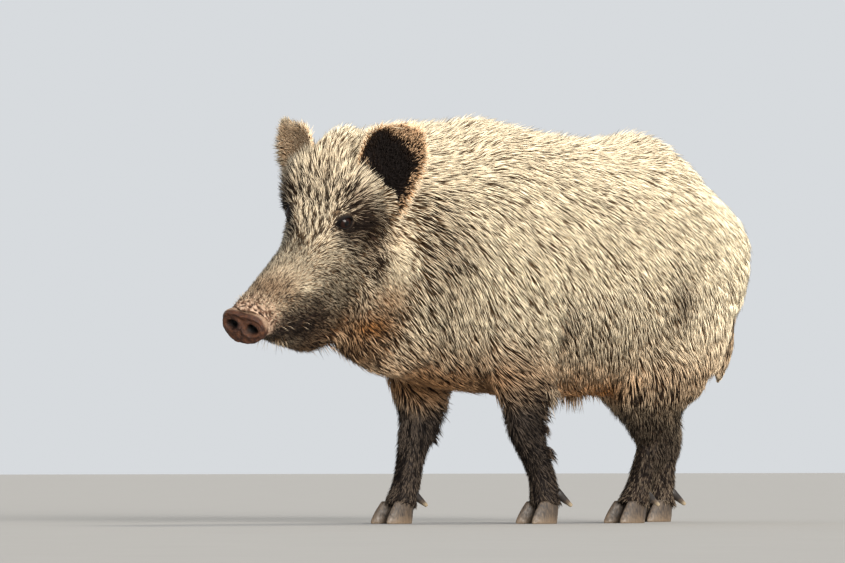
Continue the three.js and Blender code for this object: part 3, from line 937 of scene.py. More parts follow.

# %% [markdown]
# ## Markings
# Pale on the back and rump, buff and streaked on the flanks, rusty along the belly edge and under
# the jaw, charcoal on the lower legs. The ears' hollows get painted shade, and so do some spots:
# under the brow, in the hollow behind each eye, and a painted shadow on the buttock where the tail
# hangs.
# Each mark is a height band or a soft spot with a place, a reach and an amount, the same on both
# sides of the animal.

# %% Markings of the skin and coat
# place and reach in metres on the left side, then what is added to pale, rust, dark and grey
BODY_SPOTS = (
    ((0.215, 0.137, 0.525), (0.05, 0.10, 0.07), -0.20, 0.0, 0.20, 0.06),
    ((0.185, 0.140, 0.450), (0.07, 0.10, 0.08), -0.20, 0.0, 0.16, 0.05),
    ((-0.331, 0.190, 0.410), (0.035, 0.08, 0.045), -0.30, 0.0, 0.26, 0.20),
    ((-0.10, 0.185, 0.36), (0.10, 0.10, 0.05), -0.10, 0.0, 0.10, 0.05),
    ((0.16, 0.05, 0.27), (0.12, 0.16, 0.06), -0.20, 0.25, 0.22, 0.0),
    ((0.06, 0.13, 0.27), (0.06, 0.10, 0.05), -0.15, 0.10, 0.15, 0.15),
    ((-0.035, 0.160, 0.34), (0.018, 0.06, 0.07), 0.35, 0.0, -0.22, 0.0),
    ((-0.066, 0.160, 0.325), (0.013, 0.06, 0.055), -0.35, 0.0, 0.25, 0.0),
    # painted shadow on the buttock where the tail hangs against it
    ((-0.560, 0.050, 0.320), (0.030, 0.05, 0.060), -0.35, 0.0, 0.35, 0.1),
    ((-0.50, 0.10, 0.50), (0.12, 0.20, 0.16), 0.22, 0.0, -0.16, 0.0),
    ((-0.42, 0.15, 0.33), (0.10, 0.12, 0.08), 0.12, 0.10, 0.0, -0.1),
    ((-0.25, 0.0, 0.22), (0.25, 0.12, 0.05), -0.10, 0.35, 0.05, 0.0),
    ((-0.25, 0.10, 0.24), (0.05, 0.05, 0.05), 0.05, 0.45, 0.0, -0.1),
)
HEAD_SPOTS = (
    ((0.412, 0.050, 0.630), (0.05, 0.08, 0.06), 0.02, 0.10, 0.02, 0.0),
    ((0.433, 0.032, 0.560), (0.05, 0.07, 0.05), -0.08, 0.0, 0.06, 0.14),
    ((0.325, 0.030, 0.690), (0.075, 0.09, 0.05), 0.25, 0.0, -0.26, -0.05),
    ((0.545, 0.098, 0.335), (0.035, 0.05, 0.022), -0.50, 0.05, 0.22, 0.45),
    # painted shadow under the brow, over the eye
    ((0.381, 0.111, 0.560), (0.026, 0.03, 0.022), -0.38, 0.0, 0.24, 0.35),
    ((0.387, 0.099, 0.505), (0.030, 0.03, 0.016), -0.36, 0.0, 0.12, 0.60),
    ((0.362, 0.100, 0.520), (0.018, 0.03, 0.024), -0.30, 0.0, 0.25, 0.35),
    # painted shade in the hollow behind the eye, on this row and the next
    ((0.338, 0.114, 0.520), (0.032, 0.03, 0.028), -0.58, 0.0, 0.44, 0.34),
    ((0.322, 0.108, 0.480), (0.028, 0.03, 0.040), -0.60, 0.05, 0.50, 0.26),
    ((0.442, 0.084, 0.365), (0.045, 0.04, 0.032), -0.36, 0.06, 0.22, 0.26),
    ((0.501, 0.100, 0.347), (0.045, 0.04, 0.022), -0.46, 0.0, 0.24, 0.36),
    ((0.479, 0.108, 0.411), (0.022, 0.03, 0.010), 0.40, 0.0, -0.30, -0.1),
    ((0.560, 0.090, 0.405), (0.055, 0.05, 0.030), -0.62, 0.16, 0.02, 0.10),
    ((0.505, 0.080, 0.442), (0.045, 0.05, 0.030), -0.10, 0.05, -0.16, 0.02),
    ((0.295, 0.080, 0.345), (0.040, 0.06, 0.024), -0.10, 0.42, 0.08, -0.1),
    ((0.285, 0.110, 0.400), (0.035, 0.05, 0.034), 0.15, 0.38, -0.06, -0.1),
    ((0.272, 0.117, 0.460), (0.032, 0.05, 0.060), 0.50, 0.05, -0.40, -0.1),
    ((0.283, 0.119, 0.512), (0.018, 0.04, 0.022), 0.20, 0.25, -0.15, 0.0),
    ((0.300, 0.050, 0.300), (0.080, 0.08, 0.026), -0.10, 0.35, 0.12, 0.0),
    ((0.430, 0.050, 0.325), (0.075, 0.09, 0.040), -0.34, 0.12, 0.12, 0.18),
    ((0.335, 0.095, 0.352), (0.040, 0.05, 0.018), -0.05, 0.60, -0.10, 0.0),
)


def spots(q, rows, values):
    """Adds each soft spot to the values at the places q."""
    for centre, reach, *amounts in rows:
        share = blob(q, centre, reach)
        for value, amount in zip(values, amounts):
            value += share * amount


def markings(p, weights):
    """Pale, rust, dark and grey at each place: height bands and spots for each region, blended."""
    z = p[:, 2] + 0.012 * ripple(p, 0.09, 11)
    body = [np.interp(z, [0.20, 0.26, 0.31, 0.38, 0.46, 0.60, 0.68],
                      [0.95, 0.88, 0.90, 0.94, 0.98, 0.90, 0.82]),
            np.interp(z, [0.22, 0.26, 0.31, 0.37], [0.80, 0.62, 0.22, 0.03]),
            np.interp(z, [0.22, 0.30, 0.38, 0.46, 0.60, 0.68],
                      [0.05, 0.24, 0.30, 0.25, 0.20, 0.22]),
            np.interp(z, [0.24, 0.34, 0.44], [0.15, 0.12, 0.0])]
    spots(one_side(p), BODY_SPOTS, body)
    h = to_head(p)
    head = [np.interp(h[:, 2], [-0.16, -0.06, 0.02, 0.08], [0.55, 0.80, 0.84, 0.82]),
            np.interp(h[:, 2], [-0.15, -0.09], [0.35, 0.05]),
            np.interp(h[:, 2], [-0.12, 0.0, 0.08], [0.50, 0.45, 0.32]),
            np.full(len(p), 0.08)]
    spots(from_head(one_side(h)), HEAD_SPOTS, head)
    leg = [np.interp(z, [0.03, 0.20, 0.27, 0.33], [0.22, 0.20, 0.28, 0.40]),
           np.interp(z, [0.18, 0.24, 0.30], [0.02, 0.22, 0.30]),
           np.interp(z, [0.05, 0.20, 0.28], [0.55, 0.52, 0.42]),
           np.interp(z, [0.02, 0.19, 0.25, 0.31], [0.85, 1.0, 0.45, 0.1])]
    hind = smooth(-0.2, -0.26, p[:, 0])
    leg[0] += 0.12 * hind * (1 + smooth(0.10, 0.2, z))
    leg[3] -= 0.30 * hind * (0.5 + smooth(0.12, 0.2, z))
    tail = [np.interp(z, [0.26, 0.36, 0.5], [0.75, 0.35, 0.8]), np.full(len(p), 0.22),
            np.interp(z, [0.26, 0.36, 0.5], [0.25, 0.5, 0.2]), np.full(len(p), 0.05)]
    found = []
    for k in range(4):
        v = table([body[k], body[k], head[k], tail[k], leg[k]], weights)
        found.append(np.clip(v, 0, 1))
    return np.stack(found, -1)


def set_marks(obj, marks, dark_rim_and_hollow_shade, bare=0.0, fold_shade=0.0):
    """All the numbers that the skin's material reads, on the mesh."""
    count = len(obj.data.vertices)
    for k, name in enumerate(MARKS):
        set_float(obj, name, marks[:, k])
    for name, values in (("bare", bare), ("fold_shade", fold_shade), ("dark_rim_and_hollow_shade", dark_rim_and_hollow_shade)):
        set_float(obj, name, np.broadcast_to(values, count))


set_marks(skin, markings(points, weights), dark_rim_and_hollow_shade, bare, np.clip(fold_shade, 0, 1))
print("marks on the skin:", ", ".join(MARKS))

# %% [markdown]
# ## Ears and lids join the skin
# The finished skin of the body is kept as a tree of triangles, which quickly finds places on it:
# the lids and later the long tufts ask it. Then ears and lids get their marks: painted shade darkens
# the ears' hollows, the top of each hollow is painted pale, on the right ear as painted light shining
# through it from behind, the lids' rims are dark, and all of it becomes one object.

# %% Skin, ears and lids in one object
# how far up each ear's hollow is painted pale; on the right ear that is painted light shining through
# it from behind
PALE_AND_BACKLIT_FROM = {"left": 0.80, "right": 0.30}
LID_MARKS = (0.25, 0.1, 0.35, 0.35)
body_points, body_normals = points.copy(), normals(skin)
skin.data.calc_loop_triangles()
tris = np.empty(len(skin.data.loop_triangles) * 3, np.int32)
skin.data.loop_triangles.foreach_get("vertices", tris)
tris = tris.reshape(-1, 3)
body_tree = BVHTree.FromPolygons(body_points.tolist(), tris.tolist())

extra = []
for word, ear in EARS.items():
    leaf = ear_leaf("leaf_" + word, ear)
    around = 2 * EAR_COLUMNS
    inner = np.r_[np.tile(np.arange(around) >= EAR_COLUMNS, EAR_ROWS), 0, 0]
    high = np.r_[np.repeat(np.linspace(EAR_START, 1, EAR_ROWS), around), 0, 1]
    # painted shade darkens the hollow side of the leaf, below its pale top
    pale_and_backlit = smooth(0.0, 0.16, high - PALE_AND_BACKLIT_FROM[word])
    inner = inner * (1 - pale_and_backlit)
    set_marks(leaf, np.c_[0.1 + 0.2 * (1 - inner) + 0.5 * pale_and_backlit, 0.35 - 0.3 * inner,
                          0.5 + 0.5 * inner - 0.4 * pale_and_backlit, 0.2 + 0.6 * inner - 0.2 * pale_and_backlit],
              inner * 0.8)
    extra.append(leaf)
for word, eye in EYES.items():
    lid = eyelid("lid_" + word, eye)
    set_marks(lid, np.tile(LID_MARKS, (len(lid.data.vertices), 1)),
              np.repeat([row[3] for row in LID_PROFILE], LID_CORNERS))
    extra.append(lid)
join([*extra, skin], skin)
only(skin)
bpy.ops.object.shade_smooth()
skin.data.materials.clear()
skin.data.materials.append(skin_mat)
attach(skin, "root")
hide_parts(*FLESH, "ear_left", "ear_right")
print("skin with ears and lids:", len(skin.data.polygons), "faces")

# %% [markdown]
# ## Eyes
# A boar's eye is nearly all dark: a broad brown iris, a round black pupil and hardly any white. The
# ball is a sphere with a slight bulge for the cornea. Each vertex holds its angle from the gaze, and
# the material colours the rings of the eye by it, under a clear wet coat.

# %% Eye material
eye_mat, t, bsdf = material("eye")
gaze_angle = attribute(t, "gaze")
fibres = noise_of(t, object_coords(t), 1400, 3)
iris = mix_colour(t, fibres, rgb(15, 7, 5), rgb(40, 18, 11))
colour = mix_colour(t, ease(t, gaze_angle, 0.30, 0.36), rgb(3, 3, 4), iris)
colour = mix_colour(t, ease(t, gaze_angle, 0.66, 0.80), colour, rgb(8, 5, 5))
colour = mix_colour(t, ease(t, gaze_angle, 0.95, 1.15), colour, rgb(34, 24, 20))
t.links.new(colour, bsdf.inputs["Base Color"])
bsdf.inputs["Roughness"].default_value = 0.35
bsdf.inputs["Specular IOR Level"].default_value = 0.05
bsdf.inputs["Coat Weight"].default_value = 0.35
bsdf.inputs["Coat Roughness"].default_value = 0.04
print("eye material:", len(t.nodes), "nodes")

# %% Eyeballs
BULGE, BULGE_ANGLE = 0.05, 0.75
for word, eye in EYES.items():
    bpy.ops.object.select_all(action="DESELECT")
    bpy.ops.mesh.primitive_uv_sphere_add(segments=48, ring_count=32, radius=EYE_R)
    ball = bpy.context.object
    ball.name = ball.data.name = "eyeball_" + word
    local = coords(ball)
    angle = np.arccos(np.clip(local[:, 2] / EYE_R, -1, 1))
    local *= (1 + BULGE * (1 - smooth(0.0, BULGE_ANGLE, angle)))[:, None]
    basis = np.stack([eye["ahead"], eye["upward"], eye["gaze"]], 1)
    if np.linalg.det(basis) < 0:
        basis[:, 1] *= -1
    set_coords(ball, from_head(local @ basis.T + eye["centre"]))
    set_float(ball, "gaze", angle)
    bpy.ops.object.shade_smooth()
    ball.data.materials.append(eye_mat)
    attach(ball, "root")
    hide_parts("eye_" + word)
print("eyeballs:", EYE_R * 2000, "mm across")

# %% [markdown]
# ## Snout disc
# The disc is tough bare leather: a raised rim, two deep nostrils, a shallow groove between them, and
# a surface of fine pits and cracks. It is a grid of rings from the centre out over the rim and back
# along the side, and each ring point is then pushed in or out along the snout.

# %% Snout disc
DISC_HALF, DISC_HIGH, DISC_LEAN, DISC_ROLL = 0.0430, 0.0300, math.radians(-8), math.radians(-5)
DISC_MOVE = (0.0, -0.0045, -0.0050)
DISC_CURVE, DISC_BACK = 0.0070, -0.034
NOSTRIL_Y, NOSTRIL_Z, NOSTRIL_WIDE, NOSTRIL_HIGH = 0.0190, 0.0035, 0.0124, 0.0096
NOSTRIL_DEPTH, NOSTRIL_TILT = 0.0180, 0.12
FACE_RINGS, DISC_CORNERS, FACE_SHARE = 57, 150, 0.955
# how far back along the snout, and the size there as a share of the disc's
DISC_SIDE = ((-0.0055, 0.985), (-0.0085, 1.0), (-0.012, 0.985), (-0.016, 0.95),
             (-0.022, 0.90), (-0.030, 0.84), (DISC_BACK, 0.70))


def nostril(y, z, tilt=0.0):
    """How many times the size of a nostril an oval through each place is."""
    across = np.abs(y) - NOSTRIL_Y + tilt * (z - NOSTRIL_Z)
    return np.sqrt((across / NOSTRIL_WIDE) ** 2 + ((z - NOSTRIL_Z) / NOSTRIL_HIGH) ** 2)


def disc_grid():
    """Rings of corners from the disc's middle out over its rim and back along the snout."""
    angle = np.linspace(0, 2 * math.pi, DISC_CORNERS, endpoint=False)
    c, s = np.cos(angle), np.sin(angle)
    full = np.where(s > 0, 3.0, 2.1)
    shape_y = np.sign(c) * np.abs(c) ** (2 / full) * DISC_HALF * (1 - 0.10 * smooth(0.0, 1.0, -s))
    shape_z = np.sign(s) * np.abs(s) ** (2 / full) * DISC_HIGH
    notch = (1 - 0.055 * np.exp(-((angle - math.pi / 2) / 0.22) ** 2)
             - 0.03 * np.exp(-((angle - 1.5 * math.pi) / 0.16) ** 2))
    rows = []
    for r in np.linspace(0.0, 1.0, FACE_RINGS + 1)[1:]:
        y, z = shape_y * r * FACE_SHARE * notch, shape_z * r * FACE_SHARE * notch
        under = smooth(0.75, -0.2, z / DISC_HIGH)
        x = (0.0022 * under - 0.0045 * (1 - under)) * (1 - smooth(0.55, 0.97, r))
        x = x - 0.0045 * smooth(0.94, 1.0, r)
        hole = nostril(y, z, NOSTRIL_TILT)
        x = x - NOSTRIL_DEPTH * (1 - smooth(0.45, 1.02, hole))
        x = x + 0.0016 * np.exp(-((hole - 1.35) / 0.3) ** 2)
        x = x - 0.0016 * np.exp(-(y / 0.0035) ** 2) * smooth(0.12, -0.5, z / DISC_HIGH)
        rows.append(np.stack([x - DISC_CURVE * (y / DISC_HALF) ** 2, y, z], -1))
    for back, grow in DISC_SIDE:
        y, z = shape_y * grow * notch, shape_z * grow * notch
        rows.append(np.stack([back - DISC_CURVE * (y / DISC_HALF) ** 2, y, z], -1))
    return np.array(rows)


rows = disc_grid()
verts = np.concatenate([rows.reshape(-1, 3), [[0.0, 0, 0]], [[DISC_BACK, 0, 0]]])
verts[:, 0] += ripple(verts, 0.0034, 21) * 0.00035 + ripple(verts, 0.010, 22) * 0.0006
verts[:, 2] += 0.0007 * ripple(verts, 0.016, 23) * smooth(0.0, 0.02, np.abs(verts[:, 2]))
# painted shade inside the nostrils
nostril_shade = (1 - smooth(0.62, 1.08, nostril(verts[:, 1], verts[:, 2]))) * (verts[:, 0] > -0.02)
top_rim = smooth(-0.006, -0.015, verts[:, 0]) * smooth(-0.2, 0.6, verts[:, 2] / DISC_HIGH)
lean = np.array(Matrix.Rotation(DISC_LEAN, 3, "Y") @ Matrix.Rotation(DISC_ROLL, 3, "X"))
disc = closed_mesh("disc", from_head(verts @ lean.T + DISC_MOVE), tube_faces(*rows.shape[:2]))
bpy.ops.object.shade_smooth()
set_float(disc, "nostril_shade", nostril_shade)
set_float(disc, "edge", top_rim)
print("snout disc:", len(disc.data.polygons), "triangles")

# %% [markdown]
# ## Snout leather
# The leather is cracked into tiny fields, as a dog's nose is. A Voronoi texture that measures the
# distance to the fields' edges gives the cracks. They are lower than the fields, and painted darker
# as shade in them; the nostrils are painted nearly black as the shade inside them, and the upper rim
# is paler.

# %% Snout leather
disc_mat, t, bsdf = material("snout leather")
where = object_coords(t)
cells = t.nodes.new("ShaderNodeTexVoronoi")
cells.feature = "DISTANCE_TO_EDGE"
cells.inputs["Scale"].default_value = 520
t.links.new(where, cells.inputs["Vector"])
cracks = ease(t, cells.outputs["Distance"], 0.02, 0.22)
patch = noise_of(t, where, 130, 4, 0.6)
colour = mix_colour(t, ease(t, patch, 0.3, 0.7), rgb(44, 20, 9), rgb(92, 54, 30))
colour = mix_colour(t, ease(t, attribute(t, "edge"), 0.1, 0.9, 0.0, 0.75), colour, rgb(176, 146, 120))
# painted shade in the cracks
colour = mix_colour(t, ease(t, cracks, 0.0, 1.0, 0.45, 0.0), colour, rgb(28, 13, 8))
# painted shade inside the nostrils
colour = mix_colour(t, attribute(t, "nostril_shade"), colour, rgb(5, 3, 3))
t.links.new(colour, bsdf.inputs["Base Color"])
t.links.new(ease(t, patch, 0.3, 0.7, 0.45, 0.70), bsdf.inputs["Roughness"])
bsdf.inputs["Specular IOR Level"].default_value = 0.35
add_bump(t, bsdf, cracks, 0.55, 0.0008)
disc.data.materials.append(disc_mat)
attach(disc, "root")
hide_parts("snout_disc")
print("snout leather:", len(t.nodes), "nodes")

# %% [markdown]
# ## Hooves
# Two hooves carry each foot, with two small dewclaws behind. The horn is dark and streaked from the
# coronet down, paler and scuffed at the tips. Noise that is stretched along the height makes the
# streaks, and the height above the floor says where the horn is worn.

# %% Hoof horn
horn_mat, t, bsdf = material("hoof horn")
where = object_coords(t)
stretch = t.nodes.new("ShaderNodeMapping")
stretch.inputs["Scale"].default_value = (1, 1, 0.12)
t.links.new(where, stretch.inputs["Vector"])
grooves = noise_of(t, stretch.outputs[0], 420, 4, 0.6)
clouds = noise_of(t, where, 160, 3)
height = t.nodes.new("ShaderNodeSeparateXYZ")
t.links.new(where, height.inputs[0])
colour = mix_colour(t, ease(t, grooves, 0.3, 0.7), rgb(34, 27, 22), rgb(84, 70, 56))
worn = ease(t, maths(t, "ADD", height.outputs["Z"], maths(t, "MULTIPLY", clouds, 0.02)),
            0.030, 0.006, 0.0, 0.6)
colour = mix_colour(t, worn, colour, rgb(122, 102, 80))
colour = mix_colour(t, ease(t, attribute(t, "tip"), 0.0, 0.55), colour, rgb(150, 134, 110))
colour = mix_colour(t, ease(t, attribute(t, "tip"), -0.05, -0.2), colour, rgb(30, 24, 20))
t.links.new(colour, bsdf.inputs["Base Color"])
t.links.new(ease(t, clouds, 0.3, 0.7, 0.42, 0.65), bsdf.inputs["Roughness"])
add_bump(t, bsdf, grooves, 0.4, 0.0008)
print("hoof horn:", len(t.nodes), "nodes")

# %% [markdown]
# ## Hooves and dewclaws
# The solids have the right shape but flat facets. Each is copied, its hard edges are creased, and a
# Subdivision Surface rounds the rest. An edge is hard where its two faces look in very different
# directions, and the crease holds it there. The tips of the dewclaws are marked to be paler.

# %% Hooves and dewclaws
MOST_CREASE = 0.85


def crease_hard_edges(obj):
    """Gives each edge a crease by how far its two faces turn away from each other."""
    face_normals = np.array([p.normal for p in obj.data.polygons])
    faces_at = {}
    for k, p in enumerate(obj.data.polygons):
        for e in p.edge_keys:
            faces_at.setdefault(e, []).append(k)
    values = np.zeros(len(obj.data.edges))
    for e in obj.data.edges:
        pair = faces_at.get(tuple(sorted(e.vertices)), [])
        if len(pair) == 2:
            bend = face_normals[pair[0]] @ face_normals[pair[1]]
            values[e.index] = MOST_CREASE * smooth(0.75, 0.3, bend)
    crease = obj.data.attributes.new("crease_edge", "FLOAT", "EDGE")
    crease.data.foreach_set("value", values.astype(np.float32))


claws = [name for name in sorted(frame["nodes"]) if name.startswith(("hoof_", "dewclaw_"))]
for name in claws:
    claw = merged_copy(name)
    claw.name = claw.data.name = name.replace("hoof_", "horn_").replace("dewclaw_", "claw_")
    only(claw)
    crease_hard_edges(claw)
    sub = claw.modifiers.new("round", "SUBSURF")
    sub.levels = sub.render_levels = 2
    bpy.ops.object.modifier_apply(modifier=sub.name)
    bpy.ops.object.shade_smooth()
    place = coords(claw)
    if name.startswith("dewclaw_"):
        inner = np.argmax(place[:, 2])
        far = np.linalg.norm(place - place[inner], axis=1)
        set_float(claw, "tip", smooth(0.55, 0.98, far / far.max()) * 0.8 - 0.25)
    else:
        set_float(claw, "tip", np.zeros(len(place)))
    claw.data.materials.clear()
    claw.data.materials.append(horn_mat)
    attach(claw, "root")
    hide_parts(name)

print("horn pieces:", len(claws))

# %% [markdown]
# ## Floor, backdrop and light
# The pale floor is wide enough to run out of sight, and the world behind it is a pale grey-blue.

# %% Floor and backdrop
floor_mat, t, bsdf = material("studio floor")
speckle = noise_of(t, object_coords(t), 6, 3)
t.links.new(mix_colour(t, speckle, rgb(150, 148, 145), rgb(156, 154, 151)), bsdf.inputs["Base Color"])
bsdf.inputs["Roughness"].default_value = 0.9
bpy.ops.object.select_all(action="DESELECT")
bpy.ops.mesh.primitive_plane_add(size=60)
floor = bpy.context.object
floor.name = "floor"
floor.data.materials.append(floor_mat)

world = bpy.data.worlds.new("studio")
world.use_nodes = True
back = world.node_tree.nodes["Background"]
back.inputs["Color"].default_value = (0.80, 0.83, 0.86, 1)
back.inputs["Strength"].default_value = 0.85
bpy.context.scene.world = world
bpy.context.scene.view_settings.view_transform = "Standard"
print("floor and backdrop set")

# %% [markdown]
# ## Light
# A warm lamp stands high behind the rump and rims the back, and a broad soft one lights the near
# side. Sun lamps are used because their light is the same at every distance, and a wide angle makes
# them as soft as a large cloth.

# %% Lamps
def sun(name, toward, angle, strength, tint):
    """A lamp far away in the direction toward; a wide angle makes it a soft box."""
    data = bpy.data.lights.new(name, "SUN")
    data.angle, data.energy, data.color = math.radians(angle), strength, tint
    obj = bpy.data.objects.new(name, data)
    obj.rotation_euler = Vector(toward).to_track_quat("Z", "Y").to_euler()
    bpy.context.scene.collection.objects.link(obj)


sun("sun side", (-0.50, 0.12, 0.86), 14, 1.15, (1.0, 0.92, 0.78))
sun("near fill", (0.24, 0.93, 0.24), 36, 6.0, (1.0, 0.96, 0.90))

# %% [markdown]
# ## The lie of the coat
# Hair grows back from the snout, up over the brow, back along the spine and down the flanks and
# legs. A few dozen guides name a place and the way the hair points there. They are given for one
# side of the body and mirrored for the other.

# %% Guides for the lie of the hair
# place on the left side, then the way the hair points
BODY_GUIDES = (
    (0.198, 0.139, 0.552, -0.82, 0.16, -0.55), (0.182, 0.121, 0.619, -1.0, 0.04, -0.05),
    (0.114, 0.078, 0.684, -0.92, -0.10, 0.21), (0.080, 0.151, 0.515, -0.64, 0.26, -0.72),
    (0.017, 0.168, 0.422, -0.63, -0.02, -0.78), (0.122, 0.141, 0.404, -0.42, 0.02, -0.91),
    (-0.048, 0.161, 0.556, -0.75, 0.26, -0.61), (-0.171, 0.124, 0.636, -0.88, 0.34, -0.34),
    (-0.152, 0.030, 0.700, -0.99, 0.02, 0.02), (0.10, 0.0, 0.72, -0.98, 0.0, 0.1),
    (-0.144, 0.187, 0.447, -0.59, 0.05, -0.81), (-0.148, 0.183, 0.380, -0.44, -0.13, -0.89),
    (-0.331, 0.040, 0.680, -1.0, 0.04, 0.0), (-0.231, 0.172, 0.551, -0.73, 0.25, -0.63),
    (-0.274, 0.191, 0.471, -0.66, 0.06, -0.74), (-0.404, 0.182, 0.473, -0.62, -0.12, -0.78),
    (-0.492, 0.154, 0.502, -0.50, -0.08, -0.86), (-0.335, 0.156, 0.589, -0.77, 0.27, -0.58),
    (-0.323, 0.190, 0.409, -0.50, -0.10, -0.85), (-0.193, 0.178, 0.341, -0.30, -0.25, -0.90),
    (-0.395, 0.181, 0.380, 0.10, -0.15, -0.97), (-0.133, 0.147, 0.297, -0.40, -0.35, -0.80),
    (-0.324, 0.168, 0.293, -0.70, 0.07, -0.70), (-0.331, 0.161, 0.248, -0.25, -0.15, -0.95),
    (-0.56, 0.06, 0.56, -0.55, 0.1, -0.83), (-0.60, 0.0, 0.44, -0.05, 0.15, -0.99),
    (-0.56, 0.10, 0.36, 0.20, -0.2, -0.96), (-0.50, 0.0, 0.68, -0.92, 0.0, -0.3),
    (0.198, 0.046, 0.268, -0.92, -0.10, -0.29), (0.138, 0.078, 0.286, -0.80, -0.09, -0.60),
    (0.138, 0.110, 0.330, -0.55, -0.10, -0.82), (0.042, 0.134, 0.272, -0.82, 0.20, -0.54),
    (-0.026, 0.160, 0.331, -0.60, -0.20, -0.75), (-0.149, 0.121, 0.265, -0.55, -0.40, -0.70),
    (-0.251, 0.110, 0.244, -0.20, -0.03, -0.98), (-0.20, 0.0, 0.235, -0.90, 0.0, -0.40),
    (0.02, 0.0, 0.22, -0.95, 0.0, -0.3), (0.25, 0.10, 0.35, -0.70, 0.05, -0.70),
)
LEG_GUIDES = (
    (0.012, 0.122, 0.225, -0.80, 0.16, -0.56), (-0.033, 0.103, 0.131, -0.62, 0.04, -0.76),
    (-0.072, 0.103, 0.069, -0.46, 0.15, -0.86), (-0.092, 0.090, 0.030, -0.2, 0.1, -0.97),
    (0.080, 0.090, 0.160, 0.05, 0.05, -1.0), (0.085, 0.090, 0.090, 0.10, 0.05, -0.99),
    (0.10, 0.090, 0.030, 0.35, 0.05, -0.93), (-0.316, 0.132, 0.176, -0.15, -0.20, -0.96),
    (-0.31, 0.09, 0.10, -0.05, 0.0, -1.0), (-0.30, 0.09, 0.03, 0.25, 0.0, -0.96),
    (-0.52, 0.09, 0.18, -0.1, 0.0, -1.0), (-0.53, 0.09, 0.10, -0.05, 0.0, -1.0),
    (-0.53, 0.09, 0.03, 0.25, 0.0, -0.96), (-0.46, 0.09, 0.25, -0.2, -0.1, -0.97),
)
HEAD_GUIDES = (
    (0.559, 0.090, 0.421, -0.82, -0.05, 0.54), (0.487, 0.070, 0.470, -0.80, -0.02, 0.58),
    (0.440, 0.050, 0.540, -0.55, -0.02, 0.84), (0.428, 0.030, 0.601, -0.42, -0.10, 0.90),
    (0.401, 0.088, 0.608, -0.46, 0.20, 0.86), (0.376, 0.113, 0.583, -0.73, 0.14, 0.66),
    (0.344, 0.119, 0.549, -0.98, 0.05, 0.15), (0.306, 0.111, 0.511, -0.75, 0.19, -0.62),
    (0.353, 0.086, 0.445, -0.85, -0.05, -0.50), (0.396, 0.082, 0.409, -0.85, -0.10, -0.50),
    (0.430, 0.100, 0.470, -0.96, -0.05, 0.10), (0.400, 0.105, 0.500, -0.98, 0.0, 0.05),
    (0.281, 0.110, 0.437, -0.50, 0.10, -0.86), (0.324, 0.051, 0.348, -0.80, 0.10, -0.60),
    (0.493, 0.106, 0.373, -0.85, -0.05, -0.50), (0.527, 0.103, 0.338, -0.92, -0.05, -0.40),
    (0.361, 0.069, 0.679, -0.80, 0.0, 0.55), (0.300, 0.020, 0.700, -1.0, 0.0, 0.1),
    (0.296, 0.060, 0.315, -0.90, 0.01, -0.42), (0.420, 0.040, 0.330, -0.96, 0.0, -0.25),
)
TAIL_GUIDES = ((-0.60, 0.01, 0.50, -0.15, 0.0, -0.99), (-0.625, 0.0, 0.38, 0.05, 0.0, -1.0),
               (-0.60, 0.0, 0.27, 0.1, 0.0, -0.99))


print("guides:", len(BODY_GUIDES) + len(LEG_GUIDES) + len(HEAD_GUIDES) + len(TAIL_GUIDES))

# %% [markdown]
# ## Combing the skin
# Each skin vertex takes the mean of its region's guides, the near ones counting most. The result is
# laid flat on the skin and averaged with its neighbours in turn, until it flows without breaks.

# %% Comb the skin
GUIDE_REACH = 0.018
COMB_ROUNDS, COMB_SPREAD = 4, 3


def both_sides(rows, head=False):
    """The guides with their mirror images, for the head across its own middle."""
    g = np.array(rows)
    if not head:
        return np.concatenate([g, g * (1, -1, 1, 1, -1, 1)])
    place = to_head(g[:, :3]) * (1, -1, 1)
    way = (g[:, 3:] @ HEAD_WAYS) * (1, -1, 1)
    return np.concatenate([g, np.c_[from_head(place), way @ HEAD_WAYS.T]])


guide_sets = (both_sides(BODY_GUIDES), both_sides(BODY_GUIDES), both_sides(HEAD_GUIDES, True),
              np.array(TAIL_GUIDES), both_sides(LEG_GUIDES))
flow = np.zeros_like(body_points)
for k, guides in enumerate(guide_sets):
    d2 = ((body_points[:, None] - guides[None, :, :3]) ** 2).sum(2)
    near = 1 / (d2 + GUIDE_REACH ** 2) ** 2
    near /= near.sum(1, keepdims=True)
    flow += (near @ unit(guides[:, 3:])) * weights[:, k:k + 1]


def laid_flat(flow, n):
    """Directions turned into the surface whose normals are n."""
    return unit(flow - n * (flow * n).sum(1, keepdims=True))


flow = laid_flat(flow, body_normals)
for _ in range(COMB_ROUNDS):
    flow = laid_flat(spread(skin_edges, flow, COMB_SPREAD), body_normals)
print("hair guides laid over", len(flow), "places")

# %% [markdown]
# ## Where the tufts stand
# Roots are scattered evenly over the skin, more of them where the hair is short. Neighbours in a
# real coat share their shade in short streaks along the hair, so a tuft's shade is read from random
# swells that are drawn out along the lie of the coat, and mixed with a shade of its own.

# %% Scatter and settle
corner_area = np.cross(body_points[tris[:, 1]] - body_points[tris[:, 0]],
                       body_points[tris[:, 2]] - body_points[tris[:, 0]])
tri_area = np.linalg.norm(corner_area, axis=1) / 2
tri_normal = unit(body_normals[tris].sum(1))
tri_flow = unit(flow[tris].sum(1))


def scatter(density, rng):
    """Roots on the skin with so many to the square metre: triangle, three shares, and place."""
    want = np.cumsum(tri_area * density[tris].mean(1))
    count = int(want[-1])
    pick = np.searchsorted(want, (np.arange(count) + rng.random(count)) * want[-1] / count)
    pick = np.minimum(pick, len(tris) - 1)
    a, b = rng.random(count), rng.random(count)
    turn = a + b > 1
    a, b = np.where(turn, 1 - a, a), np.where(turn, 1 - b, b)
    shares = np.stack([1 - a - b, a, b], -1)
    return pick, shares


